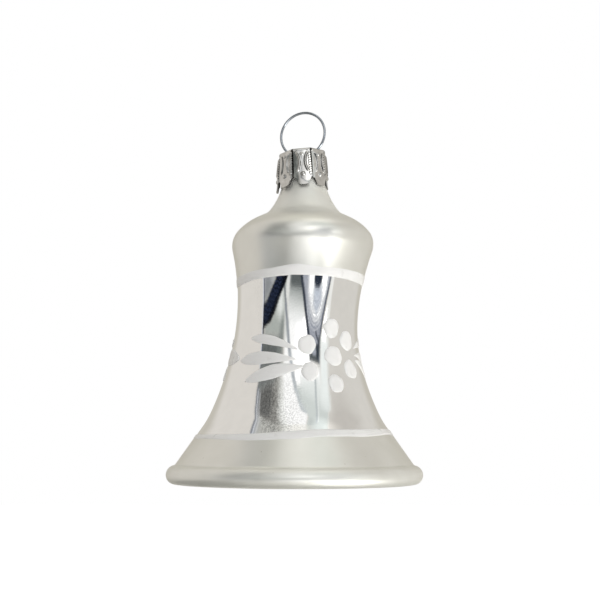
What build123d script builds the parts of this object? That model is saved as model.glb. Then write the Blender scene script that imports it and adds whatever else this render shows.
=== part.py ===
from build123d import *
import math
import os

# Christmas bell ornament of mouth-blown glass, in millimetres.
# The origin is on the bell's axis, in the plane that the rolled lip stands on. +Z is up and -Y is the front.
# The bell is one double-walled glass: the outer wall rolls over at the lip and comes up again inside as a dome.

# ---- driving dimensions -------------------------------------------------------------------------------------

GLASS = 0.6                   # wall thickness of the blown glass
RIM_RADIUS = 26.88            # outermost radius of the lip
LIP_RADIUS = 1.88             # half the thickness of the rolled lip
LAND_DEPTH = 0.03             # how far the lip's underside is flattened where it stands
NECK_RADIUS = 4.3             # outside of the straight neck
NECK_LENGTH = 3.05            # straight stretch of the neck, under the cap

# The outer wall from the neck down, as arcs that run into each other. A heading is measured from straight down,
# and it is positive where the wall runs outwards as it goes down.
NECK_FLARE_RADIUS, NECK_FLARE_HEADING = 15.6, 38.3
NECK_FOOT_RADIUS, SHOULDER_HEADING = 4.7, 62.7
SHOULDER_SLOPE_LENGTH = 2.2
SHOULDER_TOP_RADIUS, SHOULDER_TOP_HEADING = 10.7, 39.8
SHOULDER_RADIUS = 4.0
SHOULDER_FOOT_RADIUS, SHOULDER_END_HEADING = 5.3, -16.3
UPPER_WAIST_RADIUS = 52.4
LOWER_WAIST_RADIUS, LOWER_WAIST_HEADING = 42.4, 15.0
FLARE_RADIUS, FLARE_HEADING = 58.5, 26.4
KINK_RADIUS, SKIRT_HEADING = 3.0, 34.9
NOTCH_RADIUS, NOTCH_HEADING = 0.5, 80.0

# The dome inside the bell, from the lip up to its top on the axis.
DOME_SKIRT_LENGTH = 9.0
DOME_WALL_RADIUS, DOME_WALL_LEAN = 34.0, 14.0

# Lacquer and enamel on the outside of the glass.
COAT = 0.08                   # matt lacquer
BAND = 0.22                   # white enamel bands
LEAF = 0.16                   # white enamel leaves
BERRY = 0.4                   # white enamel berries
UPPER_BAND = (42.1, 44.1)     # lower and upper edge
LOWER_BAND = (9.1, 10.6)
COAT_TOP = 66.5
SPRAY_AZIMUTHS = (32, 222)    # middle of each spray, turning right from the front
SPRAY_HEIGHT = 25.9
SPRAY_REACH = 10              # no berry or leaf reaches further up or down from the middle
BERRY_RADIUS = 2.0
BERRY_ROW = 5.7               # height between berries of one column
BERRY_STEP = 20.3             # degrees between the columns
# Leaves: azimuth and height of the stalk end and of the tip, and the width. Azimuths count from the spray's middle.
LEAVES = (
    ((29.0, 27.0), (74.7, 29.6), 2.2),
    ((30.5, 25.0), (84.2, 25.1), 2.7),
    ((29.5, 23.4), (72.6, 20.7), 2.4),
)
LEAF_WIDEST = 0.68            # share of its length where a leaf is widest
LEAF_SURFACE_RADIUS = 14.2    # of the glass under the leaves

# Crown cap, pressed from thin sheet, and its wire.
SHEET = 0.25
PETALS = 8
CAP_APOTHEM = 5.1             # from the middle to the outside of a petal, at the top
CAP_BEND = 0.5                # outside radius of the bend from the disc into a petal
PETAL_FLARE = 4.2             # degrees that the petals stand outwards from the neck
PETAL_LENGTH = 8.0            # from the end of the bend to the tip
PETAL_TOP_WIDTH = 3.85
PETAL_FOOT_WIDTH = 4.3
PETAL_TAB_LENGTH = 1.75       # the narrower end of a petal
PETAL_TIP_WIDTH = 1.8
PETAL_TIP_LENGTH = 0.35
CAP_TILT = 4.5                # degrees that the disc sits askew, its right side high
CAP_SHIFT = -0.2              # how far the cap sits off the neck's middle
CAP_TURN = -2.5               # azimuth of the front petal
WIRE = 0.26                   # radius of the hanger's wire
LOOP_RADIUS = 5.1             # middle of the wire
LOOP_HEIGHT = 76.5            # middle of the loop
LOOP_TURN = 18.0              # degrees that the loop's right side is turned to the front
HOLE_SPREAD = 2.9             # each hole's distance from the cap's middle
HOLE_RADIUS = 0.45
SHOULDER_BEND = 0.6           # bend from the loop into the leg
LEG_LENGTH = 11.5
LEG_SPRING = 0.5              # degrees that the legs spring outwards

# Clapper, hung in the dome.
DROP_RADIUS, DROP_LENGTH = 1.4, 2.9
EYE_WIRE, EYE_RADIUS = 0.3, 1.25
STEM_DEPTH = 1.6
LINK_WIRE, LINK_END_RADIUS, LINK_SPAN = 0.25, 0.65, 2.2
CLAPPER_WIRE, CLAPPER_LOOP_RADIUS = 0.25, 0.65
BEAD_RADIUS, BEAD_HEIGHT = 4.8, 8.2
BEAD_BORE = 0.28
BEAD_FLAT = 0.05              # how far the bead is ground flat round its bore, above and below
HEAD_RADIUS, HEAD_THICKNESS = 0.6, 0.35


# ---- outline of the glass -----------------------------------------------------------------------------------

class Outline:
    """A line of arcs and straights that run into each other, in the plane of radius and height.

    The heading is in degrees from straight down, positive outwards. The inset moves the whole line off the
    glass's air side: positive into the glass, negative out into the air.
    """

    def __init__(self, radius, height, inset=0.0):
        self.heading = 0.0
        self.inset = inset
        self.radius = radius - inset
        self.height = height
        self.edges = []

    def step(self, length):
        turn = math.radians(self.heading)
        return (
            self.radius + length * math.sin(turn),
            self.height - length * math.cos(turn),
        )

    def straight(self, length):
        start = (self.radius, self.height)
        self.radius, self.height = self.step(length)
        self.edges.append(Line(start, (self.radius, self.height)))

    def point_on_arc(self, radius, heading, side):
        first, last = math.radians(self.heading), math.radians(heading)
        return (
            self.radius + side * radius * (math.cos(first) - math.cos(last)),
            self.height - side * radius * (math.sin(last) - math.sin(first)),
        )

    def arc(self, air_radius, heading):
        """Turns to a new heading on a radius given for the glass's air side."""
        side = 1 if heading > self.heading else -1
        radius = air_radius + side * self.inset
        start = (self.radius, self.height)
        middle = self.point_on_arc(radius, (self.heading + heading) / 2, side)
        self.radius, self.height = self.point_on_arc(radius, heading, side)
        self.heading = heading
        self.edges.append(ThreePointArc(start, middle, (self.radius, self.height)))


OUTER_ARCS_ABOVE_SKIRT = (
    (NECK_FLARE_RADIUS, NECK_FLARE_HEADING),
    (NECK_FOOT_RADIUS, SHOULDER_HEADING),
    (None, SHOULDER_SLOPE_LENGTH),
    (SHOULDER_TOP_RADIUS, SHOULDER_TOP_HEADING),
    (SHOULDER_RADIUS, 0.0),
    (SHOULDER_FOOT_RADIUS, SHOULDER_END_HEADING),
    (UPPER_WAIST_RADIUS, 0.0),
    (LOWER_WAIST_RADIUS, LOWER_WAIST_HEADING),
    (FLARE_RADIUS, FLARE_HEADING),
    (KINK_RADIUS, SKIRT_HEADING),
)


def follow(outline, arcs):
    for radius, value in arcs:
        if radius is None:
            outline.straight(value)
        else:
            outline.arc(radius, value)


def skirt_length():
    """Length of the straight skirt that brings the lip out to the rim's radius."""
    trial = Outline(NECK_RADIUS, 0.0)
    follow(trial, OUTER_ARCS_ABOVE_SKIRT)
    trial.arc(NOTCH_RADIUS, NOTCH_HEADING)
    trial.arc(LIP_RADIUS, 0.0)
    return (RIM_RADIUS - trial.radius) / math.sin(math.radians(SKIRT_HEADING))


def neck_foot_height():
    """Height of the end of the straight neck, with the lip's underside in the plane z = 0."""
    trial = Outline(NECK_RADIUS, 0.0)
    follow(trial, OUTER_ARCS_ABOVE_SKIRT)
    trial.straight(skirt_length())
    trial.arc(NOTCH_RADIUS, NOTCH_HEADING)
    trial.arc(LIP_RADIUS, -90.0)
    return -trial.height - LAND_DEPTH


NECK_FOOT = neck_foot_height()
NECK_TOP = NECK_FOOT + NECK_LENGTH


def outer_outline(inset, top=NECK_TOP, last_heading=-90.0):
    """The outer wall, from a height on the straight neck to the underside of the lip."""
    outline = Outline(NECK_RADIUS, top, inset)
    outline.straight(top - NECK_FOOT)
    follow(outline, OUTER_ARCS_ABOVE_SKIRT)
    outline.straight(skirt_length())
    outline.arc(NOTCH_RADIUS, NOTCH_HEADING)
    outline.arc(LIP_RADIUS, last_heading)
    return outline


def whole_outline(inset):
    """Both walls in one line, from the top of the neck round the lip to the top of the dome."""
    outline = outer_outline(inset)
    outline.arc(LIP_RADIUS, -180.0 + SKIRT_HEADING)
    outline.straight(DOME_SKIRT_LENGTH)
    outline.arc(DOME_WALL_RADIUS, -180.0 + DOME_WALL_LEAN)
    to_axis = outline.radius / math.cos(math.radians(DOME_WALL_LEAN))
    outline.arc(to_axis - inset, -90.0)
    return outline


DOME_TOP = whole_outline(0.0).height
DROP_BOTTOM = DOME_TOP - DROP_LENGTH


def spun(edges):
    """The solid that closed edges in the plane of radius and height sweep about the axis."""
    section = make_face(Wire(edges))
    return revolve(Plane.XZ * section, Axis.Z, 360)


def skin(thickness, low, high, last_heading=-90.0):
    """A layer on the outside of the outer wall, between two heights."""
    under = outer_outline(0.0, COAT_TOP, last_heading)
    over = outer_outline(-thickness, COAT_TOP, last_heading)
    ends = [
        Line(under.edges[0] @ 0, over.edges[0] @ 0),
        Line(under.edges[-1] @ 1, over.edges[-1] @ 1),
    ]
    layer = spun(under.edges + over.edges + ends)
    height = high - low
    slab = Pos(0, 0, low) * Cylinder(
        2 * RIM_RADIUS, height, align=(Align.CENTER, Align.CENTER, Align.MIN)
    )
    return layer & slab


# ---- glass and what is painted on it ------------------------------------------------------------------------

def glass_bell():
    air = whole_outline(0.0)
    inside = whole_outline(GLASS)
    neck_rim = Line((NECK_RADIUS, NECK_TOP), (NECK_RADIUS - GLASS, NECK_TOP))
    axis_end = Line((0, air.height), (0, inside.height))
    shell = spun(air.edges + inside.edges + [neck_rim, axis_end])
    below = Pos(0, 0, -1) * Cylinder(
        2 * RIM_RADIUS, 1, align=(Align.CENTER, Align.CENTER, Align.MIN)
    )
    shank = DROP_LENGTH - DROP_RADIUS + GLASS / 2
    drop = Pos(0, 0, DROP_BOTTOM + DROP_RADIUS) * (
        Cylinder(DROP_RADIUS, shank, align=(Align.CENTER, Align.CENTER, Align.MIN))
        + Sphere(DROP_RADIUS)
    )
    socket = Pos(0, 0, DROP_BOTTOM) * Cylinder(
        EYE_WIRE, STEM_DEPTH, align=(Align.CENTER, Align.CENTER, Align.MIN)
    )
    return shell - below + drop - socket


def at_azimuth(azimuth):
    """Turns what points along +X to an azimuth counted to the right from the front."""
    return Rot(0, 0, azimuth - 90)


def berry_places():
    """Azimuth and height of the seven berries of one spray, counted from its middle."""
    places = [(0, row * BERRY_ROW) for row in (-1, 0, 1)]
    for side in (-1, 1):
        places += [(side * BERRY_STEP, row * BERRY_ROW) for row in (-0.5, 0.5)]
    return places


def painted_berries():
    layer = skin(BERRY, SPRAY_HEIGHT - SPRAY_REACH, SPRAY_HEIGHT + SPRAY_REACH)
    berries = []
    for spray in SPRAY_AZIMUTHS:
        for azimuth, height in berry_places():
            post = Pos(0, 0, SPRAY_HEIGHT + height) * at_azimuth(spray + azimuth) * Rot(0, 90, 0)
            dot = post * Cylinder(
                BERRY_RADIUS, RIM_RADIUS, align=(Align.CENTER, Align.CENTER, Align.MIN)
            )
            berries += (layer & dot).solids()
    return Compound(berries)


def leaf_face(length, rise, width):
    """A brush stroke along +X: a fine stalk, widest past its middle, and a point. It rises by its tip."""
    widest = LEAF_WIDEST * length
    slope = rise / length
    top = (widest, slope * widest + width / 2)
    bottom = (widest, slope * widest - width / 2)
    tip = (length, rise)
    belly = 0.32 * length
    edges = [
        Spline((0, 0), (belly, slope * belly + 0.25 * width), top, tip),
        Spline((0, 0), (belly, slope * belly - 0.25 * width), bottom, tip),
    ]
    return make_face(Wire(edges))


def painted_leaves():
    layer = skin(LEAF, SPRAY_HEIGHT - SPRAY_REACH, SPRAY_HEIGHT + SPRAY_REACH)
    leaves = []
    for spray in SPRAY_AZIMUTHS:
        for side in (-1, 1):
            for (stalk, stalk_height), (tip, tip_height), width in LEAVES:
                half = math.radians(tip - stalk) / 2
                length = 2 * LEAF_SURFACE_RADIUS * math.sin(half)
                face = leaf_face(length, tip_height - stalk_height, width)
                flat = Pos(-length / 2, 0, 0) * face
                if side < 0:
                    flat = mirror(flat, about=Plane.YZ)
                facing = Plane(origin=(0, 0, stalk_height), x_dir=(1, 0, 0), z_dir=(0, -1, 0))
                blank = extrude(facing * flat, RIM_RADIUS)
                turned = Rot(0, 0, spray + side * (stalk + tip) / 2) * blank
                leaves += (layer & turned).solids()
    return Compound(leaves)


# ---- crown cap and hanger -----------------------------------------------------------------------------------

def cap_seat_height():
    """Height of the underside of the cap's disc in its middle: the askew disc rests on the neck's left side."""
    return NECK_TOP + (NECK_RADIUS + CAP_SHIFT + 0.1) * math.tan(math.radians(CAP_TILT))


CAP_SEAT = cap_seat_height()


def petal_silhouette():
    """A petal laid flat, its bend at y = 0 and its tip downwards: straight sides, scallops and a round tip."""
    top, foot, tip = PETAL_TOP_WIDTH / 2, PETAL_FOOT_WIDTH / 2, PETAL_TIP_WIDTH / 2
    shoulder = PETAL_TAB_LENGTH - PETAL_LENGTH
    tip_corner = PETAL_TIP_LENGTH - PETAL_LENGTH
    scallop = (tip + 0.22 * (foot - tip), shoulder + 0.33 * (tip_corner - shoulder))

    def left(point):
        return (-point[0], point[1])

    return make_face(Wire([
        Line((-top, CAP_BEND), (top, CAP_BEND)),
        Line((top, CAP_BEND), (foot, shoulder)),
        ThreePointArc((foot, shoulder), scallop, (tip, tip_corner)),
        ThreePointArc((tip, tip_corner), (0, -PETAL_LENGTH), (-tip, tip_corner)),
        ThreePointArc((-tip, tip_corner), left(scallop), (-foot, shoulder)),
        Line((-foot, shoulder), (-top, CAP_BEND)),
    ]))


def petal(flare):
    """One petal that hangs from a disc lying on z = 0, pointing along +X and bent outwards by its flare."""
    turn = math.radians(flare)
    middle = math.radians((90 + flare) / 2)
    hinge = (CAP_APOTHEM - CAP_BEND, SHEET - CAP_BEND)
    inner_bend = CAP_BEND - SHEET
    root = hinge[0] - 0.4
    length = PETAL_LENGTH / math.cos(turn)

    def around(radius, angle):
        return (hinge[0] + radius * math.cos(angle), hinge[1] + radius * math.sin(angle))

    def down(point):
        return (point[0] + length * math.sin(turn), point[1] - length * math.cos(turn))

    over, under = around(CAP_BEND, turn), around(inner_bend, turn)
    section = make_face(Wire([
        Line((root, SHEET), (hinge[0], SHEET)),
        ThreePointArc((hinge[0], SHEET), around(CAP_BEND, middle), over),
        Line(over, down(over)),
        Line(down(over), down(under)),
        Line(down(under), under),
        ThreePointArc(under, around(inner_bend, middle), (hinge[0], 0)),
        Line((hinge[0], 0), (root, 0)),
        Line((root, 0), (root, SHEET)),
    ]))
    strip = extrude(Plane.XZ * section, PETAL_FOOT_WIDTH, both=True)
    facing = Plane(origin=(0, 0, hinge[1]), x_dir=(0, 1, 0), z_dir=(1, 0, 0))
    return strip & extrude(facing * petal_silhouette(), 3 * CAP_APOTHEM)


def in_cap(part):
    """Sets what was made on a level disc onto the neck, askew as the cap sits."""
    return Pos(CAP_SHIFT, 0, CAP_SEAT) * Rot(0, -CAP_TILT, 0) * part


def crown_cap():
    """Pressed cap: an eight-sided disc with a petal bent down from each side, round the neck."""
    disc = RegularPolygon(CAP_APOTHEM - CAP_BEND, PETALS, major_radius=False, rotation=180 / PETALS)
    cap = at_azimuth(CAP_TURN) * extrude(disc, SHEET)
    for index in range(PETALS):
        azimuth = CAP_TURN + index * 360 / PETALS
        flare = PETAL_FLARE - CAP_TILT * math.sin(math.radians(azimuth))
        cap += at_azimuth(azimuth) * petal(flare)
    for side in (-1, 1):
        cap -= Rot(0, 0, -LOOP_TURN) * Pos(side * HOLE_SPREAD, 0, 0) * Cylinder(HOLE_RADIUS, 2)
    return in_cap(cap)


def hanger_wire():
    """One wire: a leg, the loop, and the other leg. The legs go through the cap into the neck."""
    bend_middle = HOLE_SPREAD + SHOULDER_BEND
    reach = math.sqrt((LOOP_RADIUS + SHOULDER_BEND) ** 2 - bend_middle ** 2)
    spring = math.radians(LEG_SPRING)
    inward = math.atan2(reach, bend_middle)

    def on_bend(angle):
        """A point of the bend, its angle counted up from the side towards the loop's middle."""
        return (
            bend_middle - SHOULDER_BEND * math.cos(angle),
            SHOULDER_BEND * math.sin(angle) - reach,
        )

    def left(point):
        return (-point[0], point[1])

    leg_top, join = on_bend(-spring), on_bend(inward)
    halfway = on_bend((inward - spring) / 2)
    leg_end = (
        leg_top[0] + LEG_LENGTH * math.sin(spring),
        leg_top[1] - LEG_LENGTH * math.cos(spring),
    )
    path = Wire([
        Line(left(leg_end), left(leg_top)),
        ThreePointArc(left(leg_top), left(halfway), left(join)),
        ThreePointArc(left(join), (0, LOOP_RADIUS), join),
        ThreePointArc(join, halfway, leg_top),
        Line(leg_top, leg_end),
    ])
    upright = Plane.XZ * path
    start = Plane(origin=upright @ 0, z_dir=upright % 0)
    wire = sweep(start * Circle(WIRE), path=upright)
    return Pos(CAP_SHIFT, 0, LOOP_HEIGHT) * Rot(0, 0, -LOOP_TURN) * wire


# ---- clapper ------------------------------------------------------------------------------------------------

EYE_HEIGHT = DROP_BOTTOM - EYE_WIRE - EYE_RADIUS
LINK_PIVOT = EYE_HEIGHT - EYE_RADIUS
CLAPPER_PIVOT = LINK_PIVOT - LINK_SPAN - LINK_END_RADIUS


def ring(height, radius, wire):
    """A wire ring that stands upright across the bell, facing the front."""
    return Pos(0, 0, height) * Rot(90, 0, 0) * Torus(radius, wire)


def clapper_eye():
    stem = Pos(0, 0, EYE_HEIGHT + EYE_RADIUS) * Cylinder(
        EYE_WIRE, EYE_WIRE + STEM_DEPTH, align=(Align.CENTER, Align.CENTER, Align.MIN)
    )
    return ring(EYE_HEIGHT, EYE_RADIUS, EYE_WIRE) + stem


def clapper_link():
    """An oval wire link that stands upright along the bell's depth."""
    low = LINK_PIVOT - LINK_SPAN
    path = Wire([
        Line((LINK_END_RADIUS, low), (LINK_END_RADIUS, LINK_PIVOT)),
        ThreePointArc(
            (LINK_END_RADIUS, LINK_PIVOT), (0, LINK_PIVOT + LINK_END_RADIUS), (-LINK_END_RADIUS, LINK_PIVOT)
        ),
        Line((-LINK_END_RADIUS, LINK_PIVOT), (-LINK_END_RADIUS, low)),
        ThreePointArc((-LINK_END_RADIUS, low), (0, low - LINK_END_RADIUS), (LINK_END_RADIUS, low)),
    ])
    upright = Plane.YZ * path
    start = Plane(origin=upright @ 0, z_dir=upright % 0)
    return sweep(start * Circle(LINK_WIRE), path=upright)


def clapper_wire():
    """The shank through the bead, with a loop above it and an upset head below it."""
    foot = BEAD_HEIGHT - BEAD_RADIUS + BEAD_FLAT - HEAD_THICKNESS
    shank_top = CLAPPER_PIVOT - CLAPPER_LOOP_RADIUS
    shank = Pos(0, 0, foot) * Cylinder(
        CLAPPER_WIRE, shank_top - foot, align=(Align.CENTER, Align.CENTER, Align.MIN)
    )
    head = Pos(0, 0, foot) * Cylinder(
        HEAD_RADIUS, HEAD_THICKNESS, align=(Align.CENTER, Align.CENTER, Align.MIN)
    )
    return ring(CLAPPER_PIVOT, CLAPPER_LOOP_RADIUS, CLAPPER_WIRE) + shank + head


def clapper_bead():
    slab = Box(3 * BEAD_RADIUS, 3 * BEAD_RADIUS, 2 * (BEAD_RADIUS - BEAD_FLAT))
    return Pos(0, 0, BEAD_HEIGHT) * (Sphere(BEAD_RADIUS) & slab - Cylinder(BEAD_BORE, 3 * BEAD_RADIUS))


# ---- all parts ----------------------------------------------------------------------------------------------

PARTS = {
    "glass_bell": glass_bell,
    "matt_coat_upper": lambda: skin(COAT, UPPER_BAND[1], COAT_TOP),
    "matt_coat_lower": lambda: skin(COAT, 0.0, LOWER_BAND[0], last_heading=-60.0),
    "white_band_upper": lambda: skin(BAND, *UPPER_BAND),
    "white_band_lower": lambda: skin(BAND, *LOWER_BAND),
    "painted_berries": painted_berries,
    "painted_leaves": painted_leaves,
    "crown_cap": crown_cap,
    "hanger_wire": hanger_wire,
    "clapper_eye": clapper_eye,
    "clapper_link": clapper_link,
    "clapper_wire": clapper_wire,
    "clapper_bead": clapper_bead,
}

os.makedirs("parts", exist_ok=True)
for name, make in PARTS.items():
    export_step(make(), f"parts/{name}.step")
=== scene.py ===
# Christmas bell ornament: silvered glass with satin lacquer, white enamel, a crown cap and a wire loop.
# Lengths below are in millimetres unless a name or comment says otherwise; meshes are made in metres.
# Azimuths are in degrees, counted to the right from the front (-Y). A heading is in degrees from straight
# down and is positive where the glass runs outwards as it goes down.

import math

import bmesh
import bpy
import numpy as np
from mathutils import Matrix, Vector


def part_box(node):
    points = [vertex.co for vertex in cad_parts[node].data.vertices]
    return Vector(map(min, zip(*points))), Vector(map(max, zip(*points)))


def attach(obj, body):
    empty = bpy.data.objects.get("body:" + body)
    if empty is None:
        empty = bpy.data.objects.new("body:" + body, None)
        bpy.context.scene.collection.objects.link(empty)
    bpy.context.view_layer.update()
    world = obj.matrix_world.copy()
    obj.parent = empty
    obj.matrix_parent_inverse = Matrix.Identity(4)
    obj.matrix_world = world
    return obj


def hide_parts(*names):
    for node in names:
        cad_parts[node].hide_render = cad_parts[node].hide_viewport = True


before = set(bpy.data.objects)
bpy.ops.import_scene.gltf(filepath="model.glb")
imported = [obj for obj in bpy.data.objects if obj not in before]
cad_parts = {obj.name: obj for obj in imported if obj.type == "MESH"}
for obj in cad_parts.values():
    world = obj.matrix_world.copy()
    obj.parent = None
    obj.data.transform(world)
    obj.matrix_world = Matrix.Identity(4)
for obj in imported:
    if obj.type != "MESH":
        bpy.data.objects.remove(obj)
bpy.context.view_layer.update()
MM = 0.001

# ---- dimensions: the CAD model's, but for a few that differ by some tenths to look right

GLASS = 0.6
RIM_RADIUS = 26.88
LIP_RADIUS = 1.88
NECK_RADIUS = 4.3
NECK_LENGTH = 3.05
OUTER_ARCS = (                # down the outer wall: radius and last heading, or None and a straight's length
    (15.6, 38.3),
    (4.7, 62.7),
    (None, 2.2),
    (10.7, 39.8),
    (4.0, 0.0),
    (5.3, -16.3),
    (52.4, 0.0),
    (42.4, 15.0),
    (58.5, 24.6),
    (20.0, 34.9),
)
SKIRT_HEADING = 34.9
NOTCH = (0.5, 80.0)           # the crease above the lip
DOME_SKIRT_LENGTH = 9.0
DOME_LEAN = 14.0              # how far the dome's wall still leans in where its crown starts
DOME_WALL = (34.0, DOME_LEAN - 180.0)
CROWN_END = -99.7             # heading at which the crown turns down into the drop
DROP_BEND = 0.8
DROP_SIDE = 0.6

COAT = 0.08                   # thickness of the lacquer, and of each kind of enamel
BAND = 0.22
LEAF = 0.2
BERRY = 0.42
SUNK = 0.06                   # how far a painted layer's underside lies inside the glass
COAT_TOP = 66.5
SHADED_NECK_FROM = 66.0              # the neck is painted dark from here up, as shade under the cap
SPRAY_MIDDLES = (32.0, 222.0)

SHEET = 0.25                  # the cap's tinplate
PETALS = 8
CAP_APOTHEM = 5.1
CAP_BEND = 0.5
PETAL_FLARE = 4.2
PETAL_LENGTH = 8.0
PETAL_TOP_WIDTH = 3.7
PETAL_FOOT_WIDTH = 4.05
PETAL_TAB_LENGTH = 1.75
PETAL_TIP_WIDTH = 2.3
PETAL_TIP_LENGTH = 0.35
CAP_TILT = 4.5                # degrees that its right side stands higher
CAP_SHIFT = -0.4
CAP_TURN = -2.5
HOLE_SPREAD = 2.9             # each wire hole's distance from the cap's middle
HOLE_RADIUS = 0.6

WIRE = 0.28                   # radius of the hanger's wire, as for the wires below
LOOP_RADIUS = 5.1
LOOP_LEAN = 0.02
LOOP_HEIGHT = 76.5
LOOP_TURN = 18.0              # degrees that the loop's right side is turned to the front
SHOULDER_BEND = 0.6
LEG_LENGTH = 11.5
LEG_SPRING = -1.2             # degrees that each leg leans out: they lean in

DROP_LENGTH = 2.9
EYE_WIRE = 0.3
EYE_RADIUS = 1.25
STEM_DEPTH = 1.6
LINK_WIRE = 0.25
LINK_END_RADIUS = 0.65
LINK_SPAN = 2.2
CLAPPER_WIRE = 0.25
CLAPPER_LOOP_RADIUS = 0.65
BEAD_RADIUS = 4.8
BEAD_HEIGHT = 8.2
BEAD_FLAT = 0.05              # how much is ground off the bead at each end of its bore
BEAD_BORE = 0.28
BORE_ROUNDING = 0.12
HEAD_RADIUS = 0.6
HEAD_THICKNESS = 0.35
WIRE_OVERLAP = 0.1            # how far a straight wire runs into a ring or a head

ROUND_STEPS = 320             # columns round the bell
ARC_STEP = 6.0                # most degrees between two samples of an arc
NECK_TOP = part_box("glass_bell")[1].z / MM


def smooth(value):
    """0 up to 0 and 1 from 1 on, with a soft step between."""
    value = np.clip(value, 0, 1)
    return value * value * (3 - 2 * value)


# ---- outline of the glass --------------------------------------------------

class Outline:
    """A line of arcs and straights that run into each other, kept as (radius, height, heading) samples.

    The inset moves the whole line off the glass's air side, positive into the glass.
    """

    def __init__(self, radius, height, inset=0.0, step=0.3):
        self.radius = radius - inset
        self.height = height
        self.heading = 0.0
        self.inset = inset
        self.step = step
        self.samples = [(self.radius, self.height, self.heading)]

    def straight(self, length):
        """Goes on along the heading."""
        turn = math.radians(self.heading)
        radius, height = self.radius, self.height
        count = max(1, math.ceil(length / self.step))
        for index in range(1, count + 1):
            run = length * index / count
            self.radius = radius + run * math.sin(turn)
            self.height = height - run * math.cos(turn)
            self.samples.append((self.radius, self.height, self.heading))

    def arc(self, air_radius, heading):
        """Bends to a heading, by an arc whose radius is given on the air side."""
        side = 1 if heading > self.heading else -1
        bend = air_radius + side * self.inset
        first, last = math.radians(self.heading), math.radians(heading)
        radius, height = self.radius, self.height
        by_length = math.ceil(bend * abs(last - first) / self.step)
        count = max(3, by_length, math.ceil(abs(heading - self.heading) / ARC_STEP))
        for index in range(1, count + 1):
            turn = first + (last - first) * index / count
            self.radius = radius + side * bend * (math.cos(first) - math.cos(turn))
            self.height = height - side * bend * (math.sin(turn) - math.sin(first))
            self.samples.append((self.radius, self.height, math.degrees(turn)))
        self.heading = heading


def follow(outline):
    """Runs an outline down the outer wall, from the neck to the skirt."""
    for radius, value in OUTER_ARCS:
        if radius is None:
            outline.straight(value)
        else:
            outline.arc(radius, value)


def skirt_length():
    """Length of the straight skirt that brings the lip out to the rim's radius."""
    trial = Outline(NECK_RADIUS, 0.0)
    follow(trial)
    trial.arc(*NOTCH)
    trial.arc(LIP_RADIUS, 0.0)
    return (RIM_RADIUS - trial.radius) / math.sin(math.radians(SKIRT_HEADING))


def wall_outline(inset, step):
    """From the top of the neck, round the lip, and up the dome towards the axis."""
    outline = Outline(NECK_RADIUS, NECK_TOP, inset, step)
    outline.straight(NECK_LENGTH)
    follow(outline)
    outline.straight(skirt_length())
    outline.arc(*NOTCH)
    outline.arc(LIP_RADIUS, -180.0 + SKIRT_HEADING)
    outline.straight(DOME_SKIRT_LENGTH)
    outline.arc(*DOME_WALL)
    return outline


def air_outline(step=0.3):
    """The whole surface that air touches, with the drop on the dome's top where the clapper's eye is set."""
    outline = wall_outline(0.0, step)
    outline.arc(outline.radius / math.cos(math.radians(DOME_LEAN)), CROWN_END)
    outline.arc(DROP_BEND, 0.0)
    outline.straight(DROP_SIDE)
    outline.arc(outline.radius, -90.0)
    return outline


def silvered_outline(step=1.2):
    """The inside of the hollow between the walls."""
    outline = wall_outline(GLASS, step)
    outline.arc(outline.radius / math.cos(math.radians(DOME_LEAN)) - GLASS, -90.0)
    return outline


DOME_TOP = silvered_outline().height - GLASS
DROP_BOTTOM = DOME_TOP - DROP_LENGTH


def waves(points, scale, seed, count=10):
    """Soft random values, mostly between -1 and 1, at points, with lumps about one scale across."""
    random = np.random.default_rng(seed)
    total = np.zeros(points.shape[:-1])
    for _ in range(count):
        direction = random.normal(size=3)
        direction /= np.linalg.norm(direction)
        turn_rate = 2 * math.pi / (scale * random.uniform(1.5, 2.8))
        total += np.sin(turn_rate * (points @ direction) + random.uniform(0, 2 * math.pi))
    return total / math.sqrt(count)


class Wall:
    """Places things on the glass by azimuth, path length from the neck's top, and lift off the surface."""

    def __init__(self, outline):
        self.radius, self.height, self.heading = np.array(outline.samples).T
        runs = np.hypot(np.diff(self.radius), np.diff(self.height))
        self.path = np.concatenate([[0.0], np.cumsum(runs)])
        self.lip = int(np.argmax(self.heading <= -90.0))

    def path_at(self, height):
        """Path length where the outer wall passes a height."""
        return np.interp(-np.asarray(height), -self.height[:self.lip], self.path[:self.lip])

    def radius_at(self, height):
        """The outer wall's radius at a height."""
        return float(np.interp(self.path_at(height), self.path, self.radius))

    def place(self, azimuth, path, lift):
        """Points in space, a lift off the glass."""
        azimuth, path, lift = np.broadcast_arrays(azimuth, path, lift)
        radius = np.interp(path, self.path, self.radius)
        height = np.interp(path, self.path, self.height)
        turn = np.radians(np.interp(path, self.path, self.heading))
        around = np.radians(azimuth)
        point = np.stack([radius * np.sin(around), -radius * np.cos(around), height], axis=-1)
        normal = np.stack(
            [np.cos(turn) * np.sin(around), -np.cos(turn) * np.cos(around), np.sin(turn)], axis=-1
        )
        blown = GLASS_WAVE * waves(point, GLASS_WAVE_SCALE, 3) + GLASS_RIPPLE * waves(point, 4.0, 4)
        return point + normal * (lift + blown * np.clip(radius / NECK_RADIUS, 0, 1))[..., None]


GLASS_WAVE = 0.02             # blown glass isn't quite true: how far it is off
GLASS_WAVE_SCALE = 9.0
GLASS_RIPPLE = 0.002
WALL = Wall(air_outline())

LEAN = 1.95                   # how far the bell's upper half stands to the right
LEAN_FROM, LEAN_TO = 22.0, 60.0


def leaning(points):
    """The bell was blown by hand: its upper half, with what it carries, stands a little aside."""
    aside = LEAN * smooth((points[:, 2] - LEAN_FROM) / (LEAN_TO - LEAN_FROM))
    return points + np.stack([aside, 0 * aside, 0 * aside], axis=-1)


# ---- mesh helpers ----------------------------------------------------------

WELD = 2e-7                   # metres within which points are taken as one


def add_object(name, data):
    """A new object in the scene."""
    thing = bpy.data.objects.new(name, data)
    bpy.context.scene.collection.objects.link(thing)
    return thing


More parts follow.
